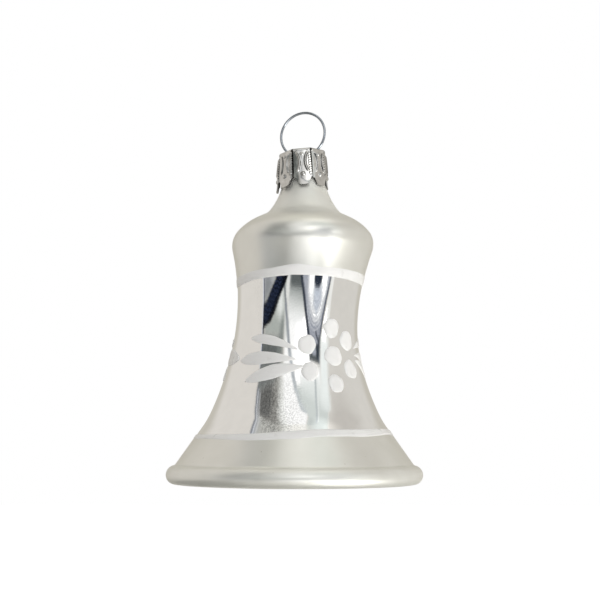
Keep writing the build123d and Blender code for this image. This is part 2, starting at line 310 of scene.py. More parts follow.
def welded_mesh(name, vertices, faces, face_material=None):
    """A mesh from points in millimetres, leaning with the bell, its seams closed and its faces outwards."""
    mesh = bpy.data.meshes.new(name)
    mesh.from_pydata((leaning(np.asarray(vertices)) * MM).tolist(), [], [list(face) for face in faces])
    if face_material is not None:
        mesh.polygons.foreach_set("material_index", np.asarray(face_material, dtype=np.int32))
    work = bmesh.new()
    work.from_mesh(mesh)
    bmesh.ops.remove_doubles(work, verts=work.verts, dist=WELD)
    bmesh.ops.dissolve_degenerate(work, edges=work.edges, dist=WELD / 20)
    bmesh.ops.recalc_face_normals(work, faces=work.faces)
    work.to_mesh(mesh)
    work.free()
    return mesh


def add_piece(name, body, node, slot, vertices, faces, materials, sharp=35.0, face_material=None):
    """A visible piece of a body: smooth but for edges sharper than an angle, in place of a CAD node."""
    mesh = welded_mesh(name, vertices, faces, face_material)
    mesh.polygons.foreach_set("use_smooth", [True] * len(mesh.polygons))
    mesh.set_sharp_from_angle(angle=math.radians(sharp))
    piece = add_object(name, mesh)
    for material in materials:
        mesh.materials.append(material)
    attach(piece, body)
    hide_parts(node)
    return piece


def points_of(mesh):
    """A mesh's points in millimetres."""
    points = np.empty(len(mesh.vertices) * 3)
    mesh.vertices.foreach_get("co", points)
    return points.reshape(-1, 3) / MM


def mark(mesh, name, values):
    """Keeps a value at each point for a material to read."""
    mesh.attributes.new(name, "FLOAT", "POINT").data.foreach_set("value", values)


def grid_faces(rows, columns, around, start=0):
    """Four-sided faces over a grid of points, joined into a ring across the columns if it goes around."""
    last = columns if around else columns - 1
    row, column = np.meshgrid(np.arange(rows - 1), np.arange(last), indexing="ij")
    beside = (column + 1) % columns
    here, below = row * columns, (row + 1) * columns
    corners = [here + column, here + beside, below + beside, below + column]
    return start + np.stack(corners, axis=-1).reshape(-1, 4)


def layer(over, under, around, seam_rows=0):
    """Vertices and faces of a closed sheet between two matching grids of points.

    Where rows are seams, the sheet is left open at its first row and at their sides, to be welded to
    another.
    """
    rows, columns = over.shape[:2]
    count = rows * columns
    vertices = np.concatenate([over.reshape(-1, 3), under.reshape(-1, 3)])
    index = np.arange(count).reshape(rows, columns)
    if around:
        borders = [np.append(border, border[0]) for border in (index[0], index[-1])]
    elif seam_rows:
        borders = [index[seam_rows:, 0], index[seam_rows:, -1], index[-1]]
    else:
        borders = [index[0], index[-1], index[:, 0], index[:, -1]]
    faces = [grid_faces(rows, columns, around), grid_faces(rows, columns, around, count)[:, ::-1]]
    for border in borders:
        faces.append(np.stack([border[:-1], border[1:], border[1:] + count, border[:-1] + count], axis=-1))
    return vertices, np.concatenate(faces).tolist()


def join_meshes(parts):
    """Several (vertices, faces) as one."""
    vertices, faces, start = [], [], 0
    for part_vertices, part_faces in parts:
        vertices.append(np.asarray(part_vertices))
        faces += [[index + start for index in face] for face in part_faces]
        start += len(part_vertices)
    return np.concatenate(vertices), faces


def lathe(profile, columns):
    """A profile of (radius, height) spun about the axis. It starts and ends on it, or closes on itself."""
    profile = np.asarray(profile, dtype=float)
    angle = np.linspace(0, 2 * math.pi, columns, endpoint=False)
    grid = np.stack([
        profile[:, :1] * np.sin(angle),
        -profile[:, :1] * np.cos(angle),
        np.broadcast_to(profile[:, 1:], (len(profile), columns)),
    ], axis=-1)
    return grid.reshape(-1, 3), grid_faces(len(profile), columns, True).tolist()


WIRE_SIDES = 20


def tube(path, wire, across, closed=False):
    """A round wire along points in a plane whose normal is across. Open ends get a small chamfer."""
    path = np.asarray(path, dtype=float)
    across = np.asarray(across, dtype=float)
    if closed:
        along = np.roll(path, -1, axis=0) - np.roll(path, 1, axis=0)
        widths = np.full(len(path), wire)
    else:
        along = np.gradient(path, axis=0)
        first, last = along[0] / np.linalg.norm(along[0]), along[-1] / np.linalg.norm(along[-1])
        chamfer = 0.25 * wire
        near_first, near_last = path[0] + chamfer * first, path[-1] - chamfer * last
        path = np.concatenate([[path[0]], [near_first], path[1:-1], [near_last], [path[-1]]])
        along = np.concatenate([[first], [first], along[1:-1], [last], [last]])
        widths = np.full(len(path), wire)
        widths[[0, -1]] = wire - chamfer
    along = along / np.linalg.norm(along, axis=1, keepdims=True)
    beside = np.cross(along, across)
    angle = np.linspace(0, 2 * math.pi, WIRE_SIDES, endpoint=False)
    rings = path[:, None, :] + widths[:, None, None] * (
        np.cos(angle)[None, :, None] * beside[:, None, :] + np.sin(angle)[None, :, None] * across
    )
    vertices = rings.reshape(-1, 3)
    faces = grid_faces(len(path), WIRE_SIDES, True).tolist()
    start, end = list(range(WIRE_SIDES)), list(range(len(vertices) - WIRE_SIDES, len(vertices)))
    if closed:
        faces += [[end[k - 1], end[k], start[k], start[k - 1]] for k in range(WIRE_SIDES)]
    else:
        faces += [start, end]
    return vertices, faces


# ---- materials -------------------------------------------------------------

def linear(colour):
    """A screen colour of 0 to 255 as light."""
    return tuple(((part / 255 + 0.055) / 1.055) ** 2.4 for part in colour)


class Finish:
    """A material with one Principled shader, and the nodes that vary it over the surface."""

    FIRST, SECOND, MIXED = 6, 7, 2    # a Mix node's colour sockets

    def __init__(self, name, colour, metallic, roughness):
        self.material = bpy.data.materials.new(name)
        self.material.use_nodes = True
        self.nodes = self.material.node_tree.nodes
        self.links = self.material.node_tree.links
        self.shader = self.nodes["Principled BSDF"]
        self.shader.inputs["Base Color"].default_value = (*colour, 1)
        self.shader.inputs["Metallic"].default_value = metallic
        self.shader.inputs["Roughness"].default_value = roughness
        self.place = self.nodes.new("ShaderNodeTexCoord").outputs["Object"]
        self.bump = None

    def noise(self, size, detail=2.0, stretch=(1, 1, 1), seed=0.0):
        """Soft noise with lumps about one size across, stretched along the axes."""
        place = self.nodes.new("ShaderNodeMapping")
        self.links.new(self.place, place.inputs["Vector"])
        place.inputs["Scale"].default_value = [1 / part for part in stretch]
        place.inputs["Location"].default_value = (seed, seed / 2, seed / 3)
        node = self.nodes.new("ShaderNodeTexNoise")
        self.links.new(place.outputs["Vector"], node.inputs["Vector"])
        node.inputs["Scale"].default_value = 1 / (size * MM)
        node.inputs["Detail"].default_value = detail
        return node.outputs["Fac"]

    def attribute(self, name):
        """A value that was marked on the mesh."""
        node = self.nodes.new("ShaderNodeAttribute")
        node.attribute_name = name
        return node.outputs["Fac"]

    def spread(self, source, low, high, start=0.3, end=0.7):
        """Turns a value that runs from start to end into one from low to high."""
        node = self.nodes.new("ShaderNodeMapRange")
        self.links.new(source, node.inputs["Value"])
        node.inputs["From Min"].default_value = start
        node.inputs["From Max"].default_value = end
        node.inputs["To Min"].default_value = low
        node.inputs["To Max"].default_value = high
        return node.outputs["Result"]

    def colours(self, source, stops):
        """Colours over a value: stops are (value, colour)."""
        node = self.nodes.new("ShaderNodeValToRGB")
        self.links.new(source, node.inputs["Fac"])
        ramp = node.color_ramp
        for index, (value, colour) in enumerate(stops):
            stop = ramp.elements[index] if index < 2 else ramp.elements.new(value)
            stop.position = value
            stop.color = (*colour, 1)
        return node.outputs["Color"]

    def multiply(self, first, second):
        """One colour tinted by another."""
        node = self.nodes.new("ShaderNodeMix")
        node.data_type = "RGBA"
        node.blend_type = "MULTIPLY"
        node.inputs["Factor"].default_value = 1.0
        self.links.new(first, node.inputs[self.FIRST])
        self.links.new(second, node.inputs[self.SECOND])
        return node.outputs[self.MIXED]

    def blend(self, share, colour):
        """White at 0, the colour at 1."""
        node = self.nodes.new("ShaderNodeMix")
        node.data_type = "RGBA"
        self.links.new(share, node.inputs["Factor"])
        node.inputs[self.FIRST].default_value = (1, 1, 1, 1)
        self.links.new(colour, node.inputs[self.SECOND])
        return node.outputs[self.MIXED]

    def set(self, socket, source):
        """Leads a value to the shader."""
        self.links.new(source, self.shader.inputs[socket])

    def raise_by(self, source, depth):
        """Adds relief of a depth in millimetres where the source is high."""
        node = self.nodes.new("ShaderNodeBump")
        node.inputs["Distance"].default_value = depth * MM
        self.links.new(source, node.inputs["Height"])
        if self.bump is not None:
            self.links.new(self.bump, node.inputs["Normal"])
        self.bump = node.outputs["Normal"]
        self.links.new(self.bump, self.shader.inputs["Normal"])


def silvered_glass():
    """Silver seen through clear glass, a little cloudy, and grainy where the mesh is marked so."""
    finish = Finish("silvered_glass", (0.93, 0.93, 0.925), 1.0, 0.05)
    cloud = finish.noise(6.0, 3)
    finish.set("Roughness", finish.spread(cloud, 0.035, 0.075))
    mottle = finish.noise(2.4, 4, seed=3.1)
    tone = finish.colours(mottle, [(0.35, (0.915, 0.915, 0.91)), (0.65, (0.94, 0.94, 0.935))])
    grain = finish.noise(0.3, 1, seed=6.0)
    grain = finish.colours(grain, [(0.4, (0.74, 0.74, 0.74)), (0.58, (1, 1, 1))])
    grain = finish.blend(finish.attribute("grain"), grain)
    finish.set("Base Color", finish.multiply(tone, grain))
    finish.raise_by(finish.noise(0.42, 1.5, stretch=(1.7, 1.7, 0.8), seed=1.7), 0.0022)
    return finish.material


def shaded_neck_glass():
    """The neck under the cap, in a dark brownish grey: painted shade for the shadow that falls under the
    cap.
    """
    finish = Finish("shaded_neck_glass", (0.3, 0.28, 0.25), 1.0, 0.2)
    finish.set("Base Color", finish.colours(
        finish.noise(1.6, 3, seed=2.6), [(0.3, (0.2, 0.185, 0.16)), (0.7, (0.42, 0.4, 0.365))]
    ))
    finish.set("Roughness", finish.spread(finish.noise(0.8, 2), 0.12, 0.35))
    return finish.material


def ground_glass():
    """The cut edge of the neck."""
    finish = Finish("ground_glass", (0.78, 0.8, 0.8), 0.0, 0.45)
    finish.raise_by(finish.noise(0.12, 3), 0.02)
    finish.set("Roughness", finish.spread(finish.noise(0.3, 2), 0.35, 0.6))
    return finish.material


def matt_lacquer():
    """Satin silver-grey lacquer, duller where the mesh is marked so, with a few specks."""
    finish = Finish("matt_lacquer", (0.82, 0.82, 0.79), 0.95, 0.3)
    mottle = finish.noise(5.0, 3, seed=0.6)
    fine = finish.noise(0.35, 3, seed=2.2)
    tone = finish.colours(mottle, [(0.3, (0.80, 0.795, 0.75)), (0.7, (0.845, 0.84, 0.80))])
    specks = finish.noise(0.5, 1, seed=5.0)
    specks = finish.colours(specks, [(0.19, (0.45, 0.43, 0.38)), (0.21, (1, 1, 1))])
    finish.set("Base Color", finish.multiply(tone, specks))
    dull = finish.attribute("dull")
    finish.set("Roughness", finish.spread(dull, 0.32, 0.44, 0.0, 1.0))
    finish.set("Metallic", finish.spread(dull, 0.84, 0.5, 0.0, 1.0))
    finish.raise_by(fine, 0.001)
    finish.raise_by(mottle, 0.008)
    return finish.material


def white_enamel():
    """Brushed enamel, glossy in places."""
    finish = Finish("white_enamel", (0.87, 0.865, 0.86), 0.0, 0.32)
    brush = finish.noise(0.5, 3, stretch=(6, 6, 1), seed=1.1)
    cloud = finish.noise(2.5, 2, seed=4.2)
    tone = finish.colours(cloud, [(0.3, (0.855, 0.845, 0.84)), (0.7, (0.89, 0.88, 0.878))])
    finish.set("Base Color", tone)
    finish.set("Roughness", finish.spread(cloud, 0.26, 0.4))
    finish.raise_by(brush, 0.02)
    finish.shader.inputs["Coat Weight"].default_value = 0.2
    finish.shader.inputs["Coat Roughness"].default_value = 0.2
    return finish.material


def pressed_tinplate():
    """Bright tinplate, darker where the mesh is marked so: random dirt, and painted shade on the pressing's
    slopes, edges, inner faces and underside.
    """
    finish = Finish("pressed_tinplate", (0.8, 0.79, 0.76), 1.0, 0.12)
    grime_and_shade = finish.attribute("grime_and_shade")
    cloud = finish.noise(1.2, 4, seed=0.4)
    tone = finish.colours(cloud, [(0.3, (0.56, 0.55, 0.53)), (0.7, (0.72, 0.715, 0.7))])
    # painted shade as well as dirt: the metal is darker where the mark is high
    grime_and_shade_tint = finish.colours(grime_and_shade, [(0.1, (1, 1, 1)), (0.95, (0.16, 0.155, 0.15))])
    finish.set("Base Color", finish.multiply(tone, grime_and_shade_tint))
    finish.set("Roughness", finish.spread(cloud, 0.07, 0.17))
    finish.raise_by(finish.noise(0.15, 2, stretch=(1, 1, 8), seed=2.0), 0.002)
    return finish.material


def drawn_wire(name, colour, roughness):
    """Wire with fine lines round it and a few stains."""
    finish = Finish(name, colour, 1.0, roughness)
    stain = finish.noise(1.5, 3, seed=0.9)
    bright = tuple(min(1.0, 1.12 * part) for part in colour)
    dull = tuple(0.84 * part for part in colour)
    finish.set("Base Color", finish.colours(stain, [(0.3, dull), (0.7, bright)]))
    worn = finish.noise(0.4, 2, seed=1.3)
    finish.set("Roughness", finish.spread(worn, roughness - 0.05, roughness + 0.08))
    finish.raise_by(finish.noise(0.1, 1, stretch=(1, 1, 10)), 0.001)
    return finish.material


def silvered_bead():
    """The bead's own silvering, a little uneven."""
    finish = Finish("silvered_bead", (0.86, 0.86, 0.85), 1.0, 0.08)
    finish.set("Roughness", finish.spread(finish.noise(1.5, 3), 0.05, 0.16))
    finish.raise_by(finish.noise(1.2, 2, seed=0.7), 0.006)
    return finish.material


# ---- glass and what is painted on it ---------------------------------------

SHADED_NECK = 2                 # its place in the bell's materials


def glass_bell(materials):
    """Both walls in one surface, from the drop on the dome's top to the inside of the dome's top.

    The materials are the silvered glass, the neck's cut edge and the neck under the cap, painted dark for
    its shade.
    """
    inner = Wall(silvered_outline())
    outer = WALL
    azimuth = np.linspace(0, 360, ROUND_STEPS, endpoint=False)
    outside = outer.place(azimuth[None, :], outer.path[::-1, None], 0.0)
    inside = inner.place(azimuth[None, :], inner.path[:, None], 0.0)
    outside[..., 2] = np.maximum(outside[..., 2], 0.0)
    grid = np.concatenate([outside, inside])
    rows = len(grid)
    faces = grid_faces(rows, ROUND_STEPS, True)
    row_of_face = faces[:, 0] // ROUND_STEPS
    which = (row_of_face == len(outside) - 1).astype(int)
    # painted shade: the neck's outside under the cap gets the dark material
    shaded_rows = outside[1:, 0, 2] > SHADED_NECK_FROM
    which[:len(shaded_rows) * ROUND_STEPS][np.repeat(shaded_rows, ROUND_STEPS)] = SHADED_NECK
    bell = add_piece(
        "blown_glass_bell", "bell", "glass_bell", "silvered_glass",
        grid.reshape(-1, 3), faces.tolist(), materials, face_material=which,
    )
    add_grain(bell.data)


def add_grain(mesh):
    """Marks where the silvering came out grainy: low down, at the front left."""
    points = points_of(mesh)
    azimuth, height = np.degrees(np.arctan2(points[:, 0], -points[:, 1])), points[:, 2]
    left_edge = -20 - 0.8 * (height - 10)
    across = smooth((azimuth - left_edge) / 5) * smooth((12 - azimuth) / 16)
    mark(mesh, "grain", across * (0.15 + 0.75 * smooth((25 - height) / 12)))


def around_bell(knots, azimuth):
    """Heights given at some azimuths, joined smoothly right round the bell."""
    at = sorted((place % 360, height) for place, height in knots)
    places = [at[-1][0] - 360] + [place for place, _ in at] + [at[0][0] + 360]
    heights = [at[-1][1]] + [height for _, height in at] + [at[0][1]]
    index = np.clip(np.searchsorted(places, azimuth % 360, side="right") - 1, 0, len(places) - 2)
    low, high = np.take(places, index), np.take(places, index + 1)
    share = (azimuth % 360 - low) / (high - low)
    ease = 0.5 * share + 0.5 * smooth(share)
    return np.take(heights, index) * (1 - ease) + np.take(heights, index + 1) * ease


# Azimuths and heights that the edges of the white bands pass through.
UPPER_BAND_TOP = ((-65, 43.5), (-26, 44.0), (-4, 44.6), (20, 44.1), (65, 44.1), (150, 44.2), (220, 43.8))
UPPER_BAND_FOOT = ((-65, 41.5), (-26, 42.1), (-4, 42.4), (26, 42.2), (65, 41.9), (150, 41.8), (220, 42.0))
LOWER_BAND_TOP = ((-56, 10.0), (-22, 10.2), (-4, 10.6), (14, 11.0), (72, 11.3), (150, 10.8), (220, 10.4))
LOWER_BAND_FOOT = ((-65, 9.2), (-21, 8.8), (-2, 9.0), (18, 9.5), (67, 9.9), (150, 9.4), (220, 9.2))
BAND_JOIN = -4.0              # azimuth where a band's end meets its start
BAND_RING = 14                # radius of a ring on which a band's random values are drawn
BAND_ROWS = 19


def ring_points(azimuth, radius, rise=0.0):
    """Points on a ring, to draw soft random values at."""
    angle = np.radians(azimuth)
    points = np.broadcast_arrays(radius * np.sin(angle), radius * np.cos(angle), rise)
    return np.stack(points, axis=-1)


def brushed_edge(knots, azimuth, seed):
    """A band's edge: where the brush went, and how it trembled."""
    trace = ring_points(azimuth, BAND_RING, BAND_RING * seed)
    tremble = 0.06 * waves(trace, 6.0, seed) + 0.025 * waves(trace, 1.6, seed + 1)
    return around_bell(knots, azimuth) + tremble


def close_to_edges(count, power):
    """Places from -1 to 1 that lie closer together towards both ends."""
    across = np.linspace(-1, 1, count)
    return np.sign(across) * (1 - (1 - np.abs(across)) ** power)


def white_band(name, node, top_knots, foot_knots, seed, material):
    """A band of enamel laid on in one turn, thicker where its end meets its start."""
    azimuth = np.linspace(0, 360, 2 * ROUND_STEPS, endpoint=False)
    top = WALL.path_at(brushed_edge(top_knots, azimuth, seed))
    foot = WALL.path_at(brushed_edge(foot_knots, azimuth, seed + 7))
    across = close_to_edges(BAND_ROWS, 1.6)
    path = (top + foot) / 2 + across[:, None] * (foot - top) / 2
    overlap = np.exp(-(((azimuth - BAND_JOIN + 180) % 360 - 180) / 7.0) ** 2)
    trace = ring_points(azimuth, BAND_RING, 9 * across[:, None])
    streaks = 0.02 * waves(trace * (1, 1, 0.8), 3.0, seed + 3)
    rounded = np.sqrt(np.clip(1 - np.abs(across[:, None]) ** 2.6, 0, 1))
    lift = rounded * (BAND * (0.82 + 0.18 * overlap) + streaks)
    over = WALL.place(azimuth, path, lift)
    under = WALL.place(azimuth, path, -SUNK)
    add_piece(name, "bell", node, "white_enamel", *layer(over, under, True), [material], sharp=60)


def band_middle(top_knots, foot_knots, azimuth):
    """Heights half way down a band."""
    return (around_bell(top_knots, azimuth) + around_bell(foot_knots, azimuth)) / 2


COAT_STEP = 0.28              # path length of one row of a coat
COAT_ROUNDING = 0.4           # and over which its edges thin out


def lacquer_coat(name, node, start, end, material):
    """Satin lacquer between two path lengths given round the bell."""
    azimuth = np.linspace(0, 360, ROUND_STEPS, endpoint=False)
    rows = int(np.max(np.abs(end - start)) / COAT_STEP)
    share = np.linspace(0, 1, rows)[:, None]
    path = start * (1 - share) + end * share
    edge = np.minimum(share, 1 - share) * np.abs(end - start)
    lift = COAT * np.sqrt(np.clip(edge / COAT_ROUNDING, 0, 1))
    over = WALL.place(azimuth, path, lift)
    under = WALL.place(azimuth, path, -SUNK)
    over[..., 2] = np.maximum(over[..., 2], 0.0)
    under[..., 2] = np.maximum(under[..., 2], 0.0)
    sheet = layer(over, under, True)
    coat = add_piece(name, "bell", node, "matt_lacquer", *sheet, [material], sharp=60)
    add_dullness(coat.data)


def add_dullness(mesh):
    """Marks the lip and the neck, where the lacquer ran thicker and duller."""
    height = points_of(mesh)[:, 2]
    mark(mesh, "dull", 0.45 * smooth((4.6 - height) / 1.2) + smooth((height - 54) / 4))


def lacquer_coats(material):
    """One coat from under the cap to the upper band, the other from the lower band to under the lip."""
    azimuth = np.linspace(0, 360, ROUND_STEPS, endpoint=False)
    trace = ring_points(azimuth, 9)
    top = WALL.path_at(COAT_TOP + 0.25 * waves(trace, 4.0, 21))
    upper_foot = WALL.path_at(band_middle(UPPER_BAND_TOP, UPPER_BAND_FOOT, azimuth))
    lacquer_coat("lacquer_neck_and_shoulder", "matt_coat_upper", top, upper_foot, material)
    lower_top = WALL.path_at(band_middle(LOWER_BAND_TOP, LOWER_BAND_FOOT, azimuth))
    under_lip = WALL.path[WALL.lip] - 0.5 + 0.3 * waves(trace, 5.0, 22)
    lacquer_coat("lacquer_flare_and_lip", "matt_coat_lower", lower_top, under_lip, material)


# Azimuth from the spray's middle and height, half width and half height of each berry.
BERRIES = (
    (-22.0, 28.05, 1.85, 2.05),
    (-19.9, 22.55, 1.75, 2.05),
    (1.1, 31.65, 1.90, 2.08),
    (19.2, 29.35, 2.00, 2.12),
    (2.1, 25.90, 2.18, 2.08),
    (19.8, 23.40, 2.05, 2.02),
    (0.5, 20.25, 1.85, 1.95),
)


def berry(azimuth, height, half_width, half_height, random):
    """A dab of thick enamel: nearly flat in its middle, with an outline that isn't quite round."""
    turn = np.linspace(0, 2 * math.pi, 56, endpoint=False)
    phase = random.uniform(0, 2 * math.pi, 4)
    outline = 1 + 0.028 * np.cos(3 * turn + phase[0]) + 0.022 * np.cos(5 * turn + phase[1])
    outline += 0.012 * np.cos(7 * turn + phase[2])
    share = np.sin(np.linspace(0, math.pi / 2, 18))[:, None]
    aside = share * outline * half_width * np.cos(turn)
    along = share * outline * half_height * np.sin(turn)
    rise = np.clip(1 - share ** 3.4, 0, 1) ** 0.6
    thick = BERRY * (0.9 + 0.1 * random.uniform(-1, 1))
    sag = 1 - 0.10 * along / half_height
    dimple = 1 - 0.12 * np.exp(-(share / 0.35) ** 2)
    radius = WALL.radius_at(height)
    around = azimuth + np.degrees(aside / radius)
    path = WALL.path_at(height) - along
    lift = thick * rise * sag * dimple
    over = WALL.place(around, path, lift)
    under = WALL.place(around, path, -SUNK)
    return layer(over, under, True)


# Leaves of a spray, from its middle: azimuth and height of the stalk's end and of the tip, how far the
# leaf bows upwards, and its greatest width.
LEAVES = (
    ((-29.0, 26.95), (-74.8, 29.60), 0.62, 1.95),
    ((-30.5, 24.95), (-83.8, 25.05), 0.42, 2.65),
    ((-22.0, 23.55), (-72.6, 20.70), 0.48, 2.85),
    ((30.0, 28.00), (74.8, 29.90), 0.62, 1.95),
    ((30.5, 26.50), (83.8, 25.40), 0.42, 2.65),
    ((30.3, 25.40), (72.6, 21.40), 0.48, 2.85),
)
BACK_LEAVES = LEAVES[:3] + (
    ((29.0, 28.00), (60.0, 29.60), 0.62, 1.95),
    ((30.5, 26.50), (84.3, 25.50), 0.42, 3.40),
    ((29.0, 25.00), (60.0, 21.60), 0.48, 2.60),
)
LEAF_TIP_BLUNTNESS = 0.8
LEAF_STALK_FINENESS = 1.3
LEAF_ROWS, LEAF_COLUMNS = 90, 17
STALK_WIDTH = 0.3


def leaf(stalk, tip, bow, width, random):
    """A brush stroke: a fine stalk that swells to its widest near the far end and comes to a point."""
    along = np.linspace(0, 1, LEAF_ROWS)
    along = 0.5 * along + 0.5 * (0.5 - 0.5 * np.cos(math.pi * along))
    widest = LEAF_STALK_FINENESS / (LEAF_STALK_FINENESS + LEAF_TIP_BLUNTNESS)
    peak = widest ** LEAF_STALK_FINENESS * (1 - widest) ** LEAF_TIP_BLUNTNESS
    swell = along ** LEAF_STALK_FINENESS * (1 - along) ** LEAF_TIP_BLUNTNESS / peak
    stalk_width = STALK_WIDTH * np.clip(along / 0.03, 0, 1) ** 0.5 * (1 - along)
    half = (width * swell + stalk_width) / 2
    shake = random.uniform(0, 2 * math.pi, 3)
    half = half * (1 + 0.03 * np.sin(9 * along + shake[0]) + 0.015 * np.sin(23 * along + shake[1]))
    across = close_to_edges(LEAF_COLUMNS, 1.5)
    azimuth = stalk[0] + (tip[0] - stalk[0]) * along
    height = stalk[1] + (tip[1] - stalk[1]) * along + 4 * bow * along * (1 - along)
    height = height[:, None] + half[:, None] * across
    rounded = np.sqrt(np.clip(1 - np.abs(across) ** 3.0, 0, 1))
    groove = 1 - 0.18 * np.exp(-(across / 0.35) ** 2) * swell[:, None]
    ends = np.clip(half / 0.35, 0.3, 1) * np.clip((1 - along) / 0.03, 0, 1) ** 0.5
    furrows = 1 + 0.06 * np.sin(11 * across[None, :] + 2 * along[:, None] + shake[2])
    lift = LEAF * rounded * groove * furrows * ends[:, None]
    around = np.broadcast_to(azimuth[:, None], height.shape)
    path = WALL.path_at(height)
    return layer(WALL.place(around, path, lift), WALL.place(around, path, -SUNK), False)


def painted_sprays(material):
    """Two sprays of berries and leaves. The one behind was painted a little less evenly."""
    random = np.random.default_rng(11)
    berries, leaves = [], []
    for middle in SPRAY_MIDDLES:
        same = middle == SPRAY_MIDDLES[0]
        for azimuth, height, *half_sizes in BERRIES:
            shift = random.uniform(-1, 1, 2) * (0.0 if same else 0.3)
            berries.append(berry(middle + azimuth + 3 * shift[0], height + shift[1], *half_sizes, random))
        for stalk, tip, bow, width in LEAVES if same else BACK_LEAVES:
            ends = [(middle + azimuth, height) for azimuth, height in (stalk, tip)]
            leaves.append(leaf(*ends, bow, width, random))
    berries, leaves = join_meshes(berries), join_meshes(leaves)
    add_piece("enamel_berries", "bell", "painted_berries", "white_enamel", *berries, [material], sharp=60)
    add_piece("enamel_leaves", "bell", "painted_leaves", "white_enamel", *leaves, [material], sharp=60)


# ---- crown cap -------------------------------------------------------------

CAP_CLEARANCE = 0.1           # how far out the tilted cap is held by the neck's edge
CAP_SEAT = NECK_TOP + (NECK_RADIUS + CAP_SHIFT + CAP_CLEARANCE) * math.tan(math.radians(CAP_TILT))
PETAL_SHOULDER = PETAL_LENGTH - PETAL_TAB_LENGTH
HINGE_OUT, HINGE_UP = CAP_APOTHEM - CAP_BEND, SHEET - CAP_BEND
# Rows of a petal's grid: radii of those on the disc, and how many lie round the bend.
DISC = np.concatenate([np.linspace(0, 3.6, 9), np.linspace(3.75, HINGE_OUT, 6)])
BEND_ROWS = 8
PETAL_COLUMNS = 49

EMBOSS = 0.3                  # height of the pressed ridges
TEETH = 0.2                   # and of the teeth
RIDGE_WIDTH = 0.21            # half a ridge's width; places below are down the petal from its bend
RIDGE_FROM, RIDGE_TO = 0.35, 5.1
DOT_AT, DOT_RADIUS = 0.95, 0.3
BOSS_AT, BOSS_RADIUS = 5.55, 0.42
TEETH_FROM, TEETH_TO = 0.4, 5.9
TEETH_PITCH = 0.55
CURL_FROM = 6.4               # from here on a petal curls, each by its own amount
CURL_MOST = 0.3
HOLLOW = 0.07                 # how much a petal is dished across
BULGE = 0.08                  # and bowed along its length


def petal_half_width(down):
    """Half width of a petal a distance below its bend: straight sides, scalloped shoulders, a round tip."""
    shoulder, corner = PETAL_SHOULDER, PETAL_LENGTH - PETAL_TIP_LENGTH
    top, foot, tip = PETAL_TOP_WIDTH / 2, PETAL_FOOT_WIDTH / 2, PETAL_TIP_WIDTH / 2
    side = top + (foot - top) * np.clip(down / shoulder, 0, 1)
    share = np.clip((down - shoulder) / (corner - shoulder), 0, 1)
    ogee = foot - (foot - tip) * (0.85 * share ** 0.3 + 0.15 * share ** 3)
    round_tip = tip * np.sqrt(np.clip(1 - ((down - corner) / PETAL_TIP_LENGTH) ** 2, 0, 1))
    return np.where(down < shoulder, side, np.where(down < corner, ogee, round_tip))


def embossing(aside, down):
    """Relief pressed into a petal: two ridges that bow together, two bosses, and teeth along one edge."""
    bow = 0.62 + 0.55 * ((down - 2.75) / 2.2) ** 2
    length = np.clip((down - RIDGE_FROM) / 0.5, 0, 1) * np.clip((RIDGE_TO - down) / 0.5, 0, 1)
    ridge = np.exp(-(((np.abs(aside) - bow) / RIDGE_WIDTH) ** 2) ** 1.5) * length
    dot = np.exp(-((aside ** 2 + (down - DOT_AT) ** 2) / DOT_RADIUS ** 2) ** 1.5)
    boss = np.exp(-((aside ** 2 + (down - BOSS_AT) ** 2) / BOSS_RADIUS ** 2) ** 2)
    here = np.clip((aside - 1.32) / 0.12, 0, 1) * np.clip((1.95 - aside) / 0.1, 0, 1)
    here = here * np.clip((down - TEETH_FROM) / 0.3, 0, 1) * np.clip((TEETH_TO - down) / 0.3, 0, 1)
    teeth = here * (0.5 + 0.5 * np.cos(2 * math.pi * (down + 0.45 * aside) / TEETH_PITCH)) ** 0.8
    return EMBOSS * (ridge + 0.8 * dot + 0.9 * boss) + TEETH * teeth


def petal_profile(azimuth, random):
    """Along a petal's middle: how far out, how high, which way it faces, and how far below its bend."""
    tilted = CAP_TILT * math.sin(math.radians(azimuth))
    flare = math.radians(PETAL_FLARE - tilted + random.uniform(-0.5, 0.5))
    bend = np.linspace(math.pi / 2, flare, BEND_ROWS + 1)[1:]
    tab = np.linspace(PETAL_SHOULDER, PETAL_LENGTH, 34)
    down = np.concatenate([np.linspace(0, PETAL_SHOULDER, 76)[1:], tab[1:]])
    out = np.concatenate([DISC, HINGE_OUT + CAP_BEND * np.cos(bend)])
    up = np.concatenate([np.full(len(DISC), SHEET), HINGE_UP + CAP_BEND * np.sin(bend)])
    out = np.concatenate([out, out[-1] + down * math.sin(flare)])
    up = np.concatenate([up, up[-1] - down * math.cos(flare)])
    tilt = np.concatenate([np.full(len(DISC), math.pi / 2), bend, np.full(len(down), flare)])
    return out, up, tilt, down


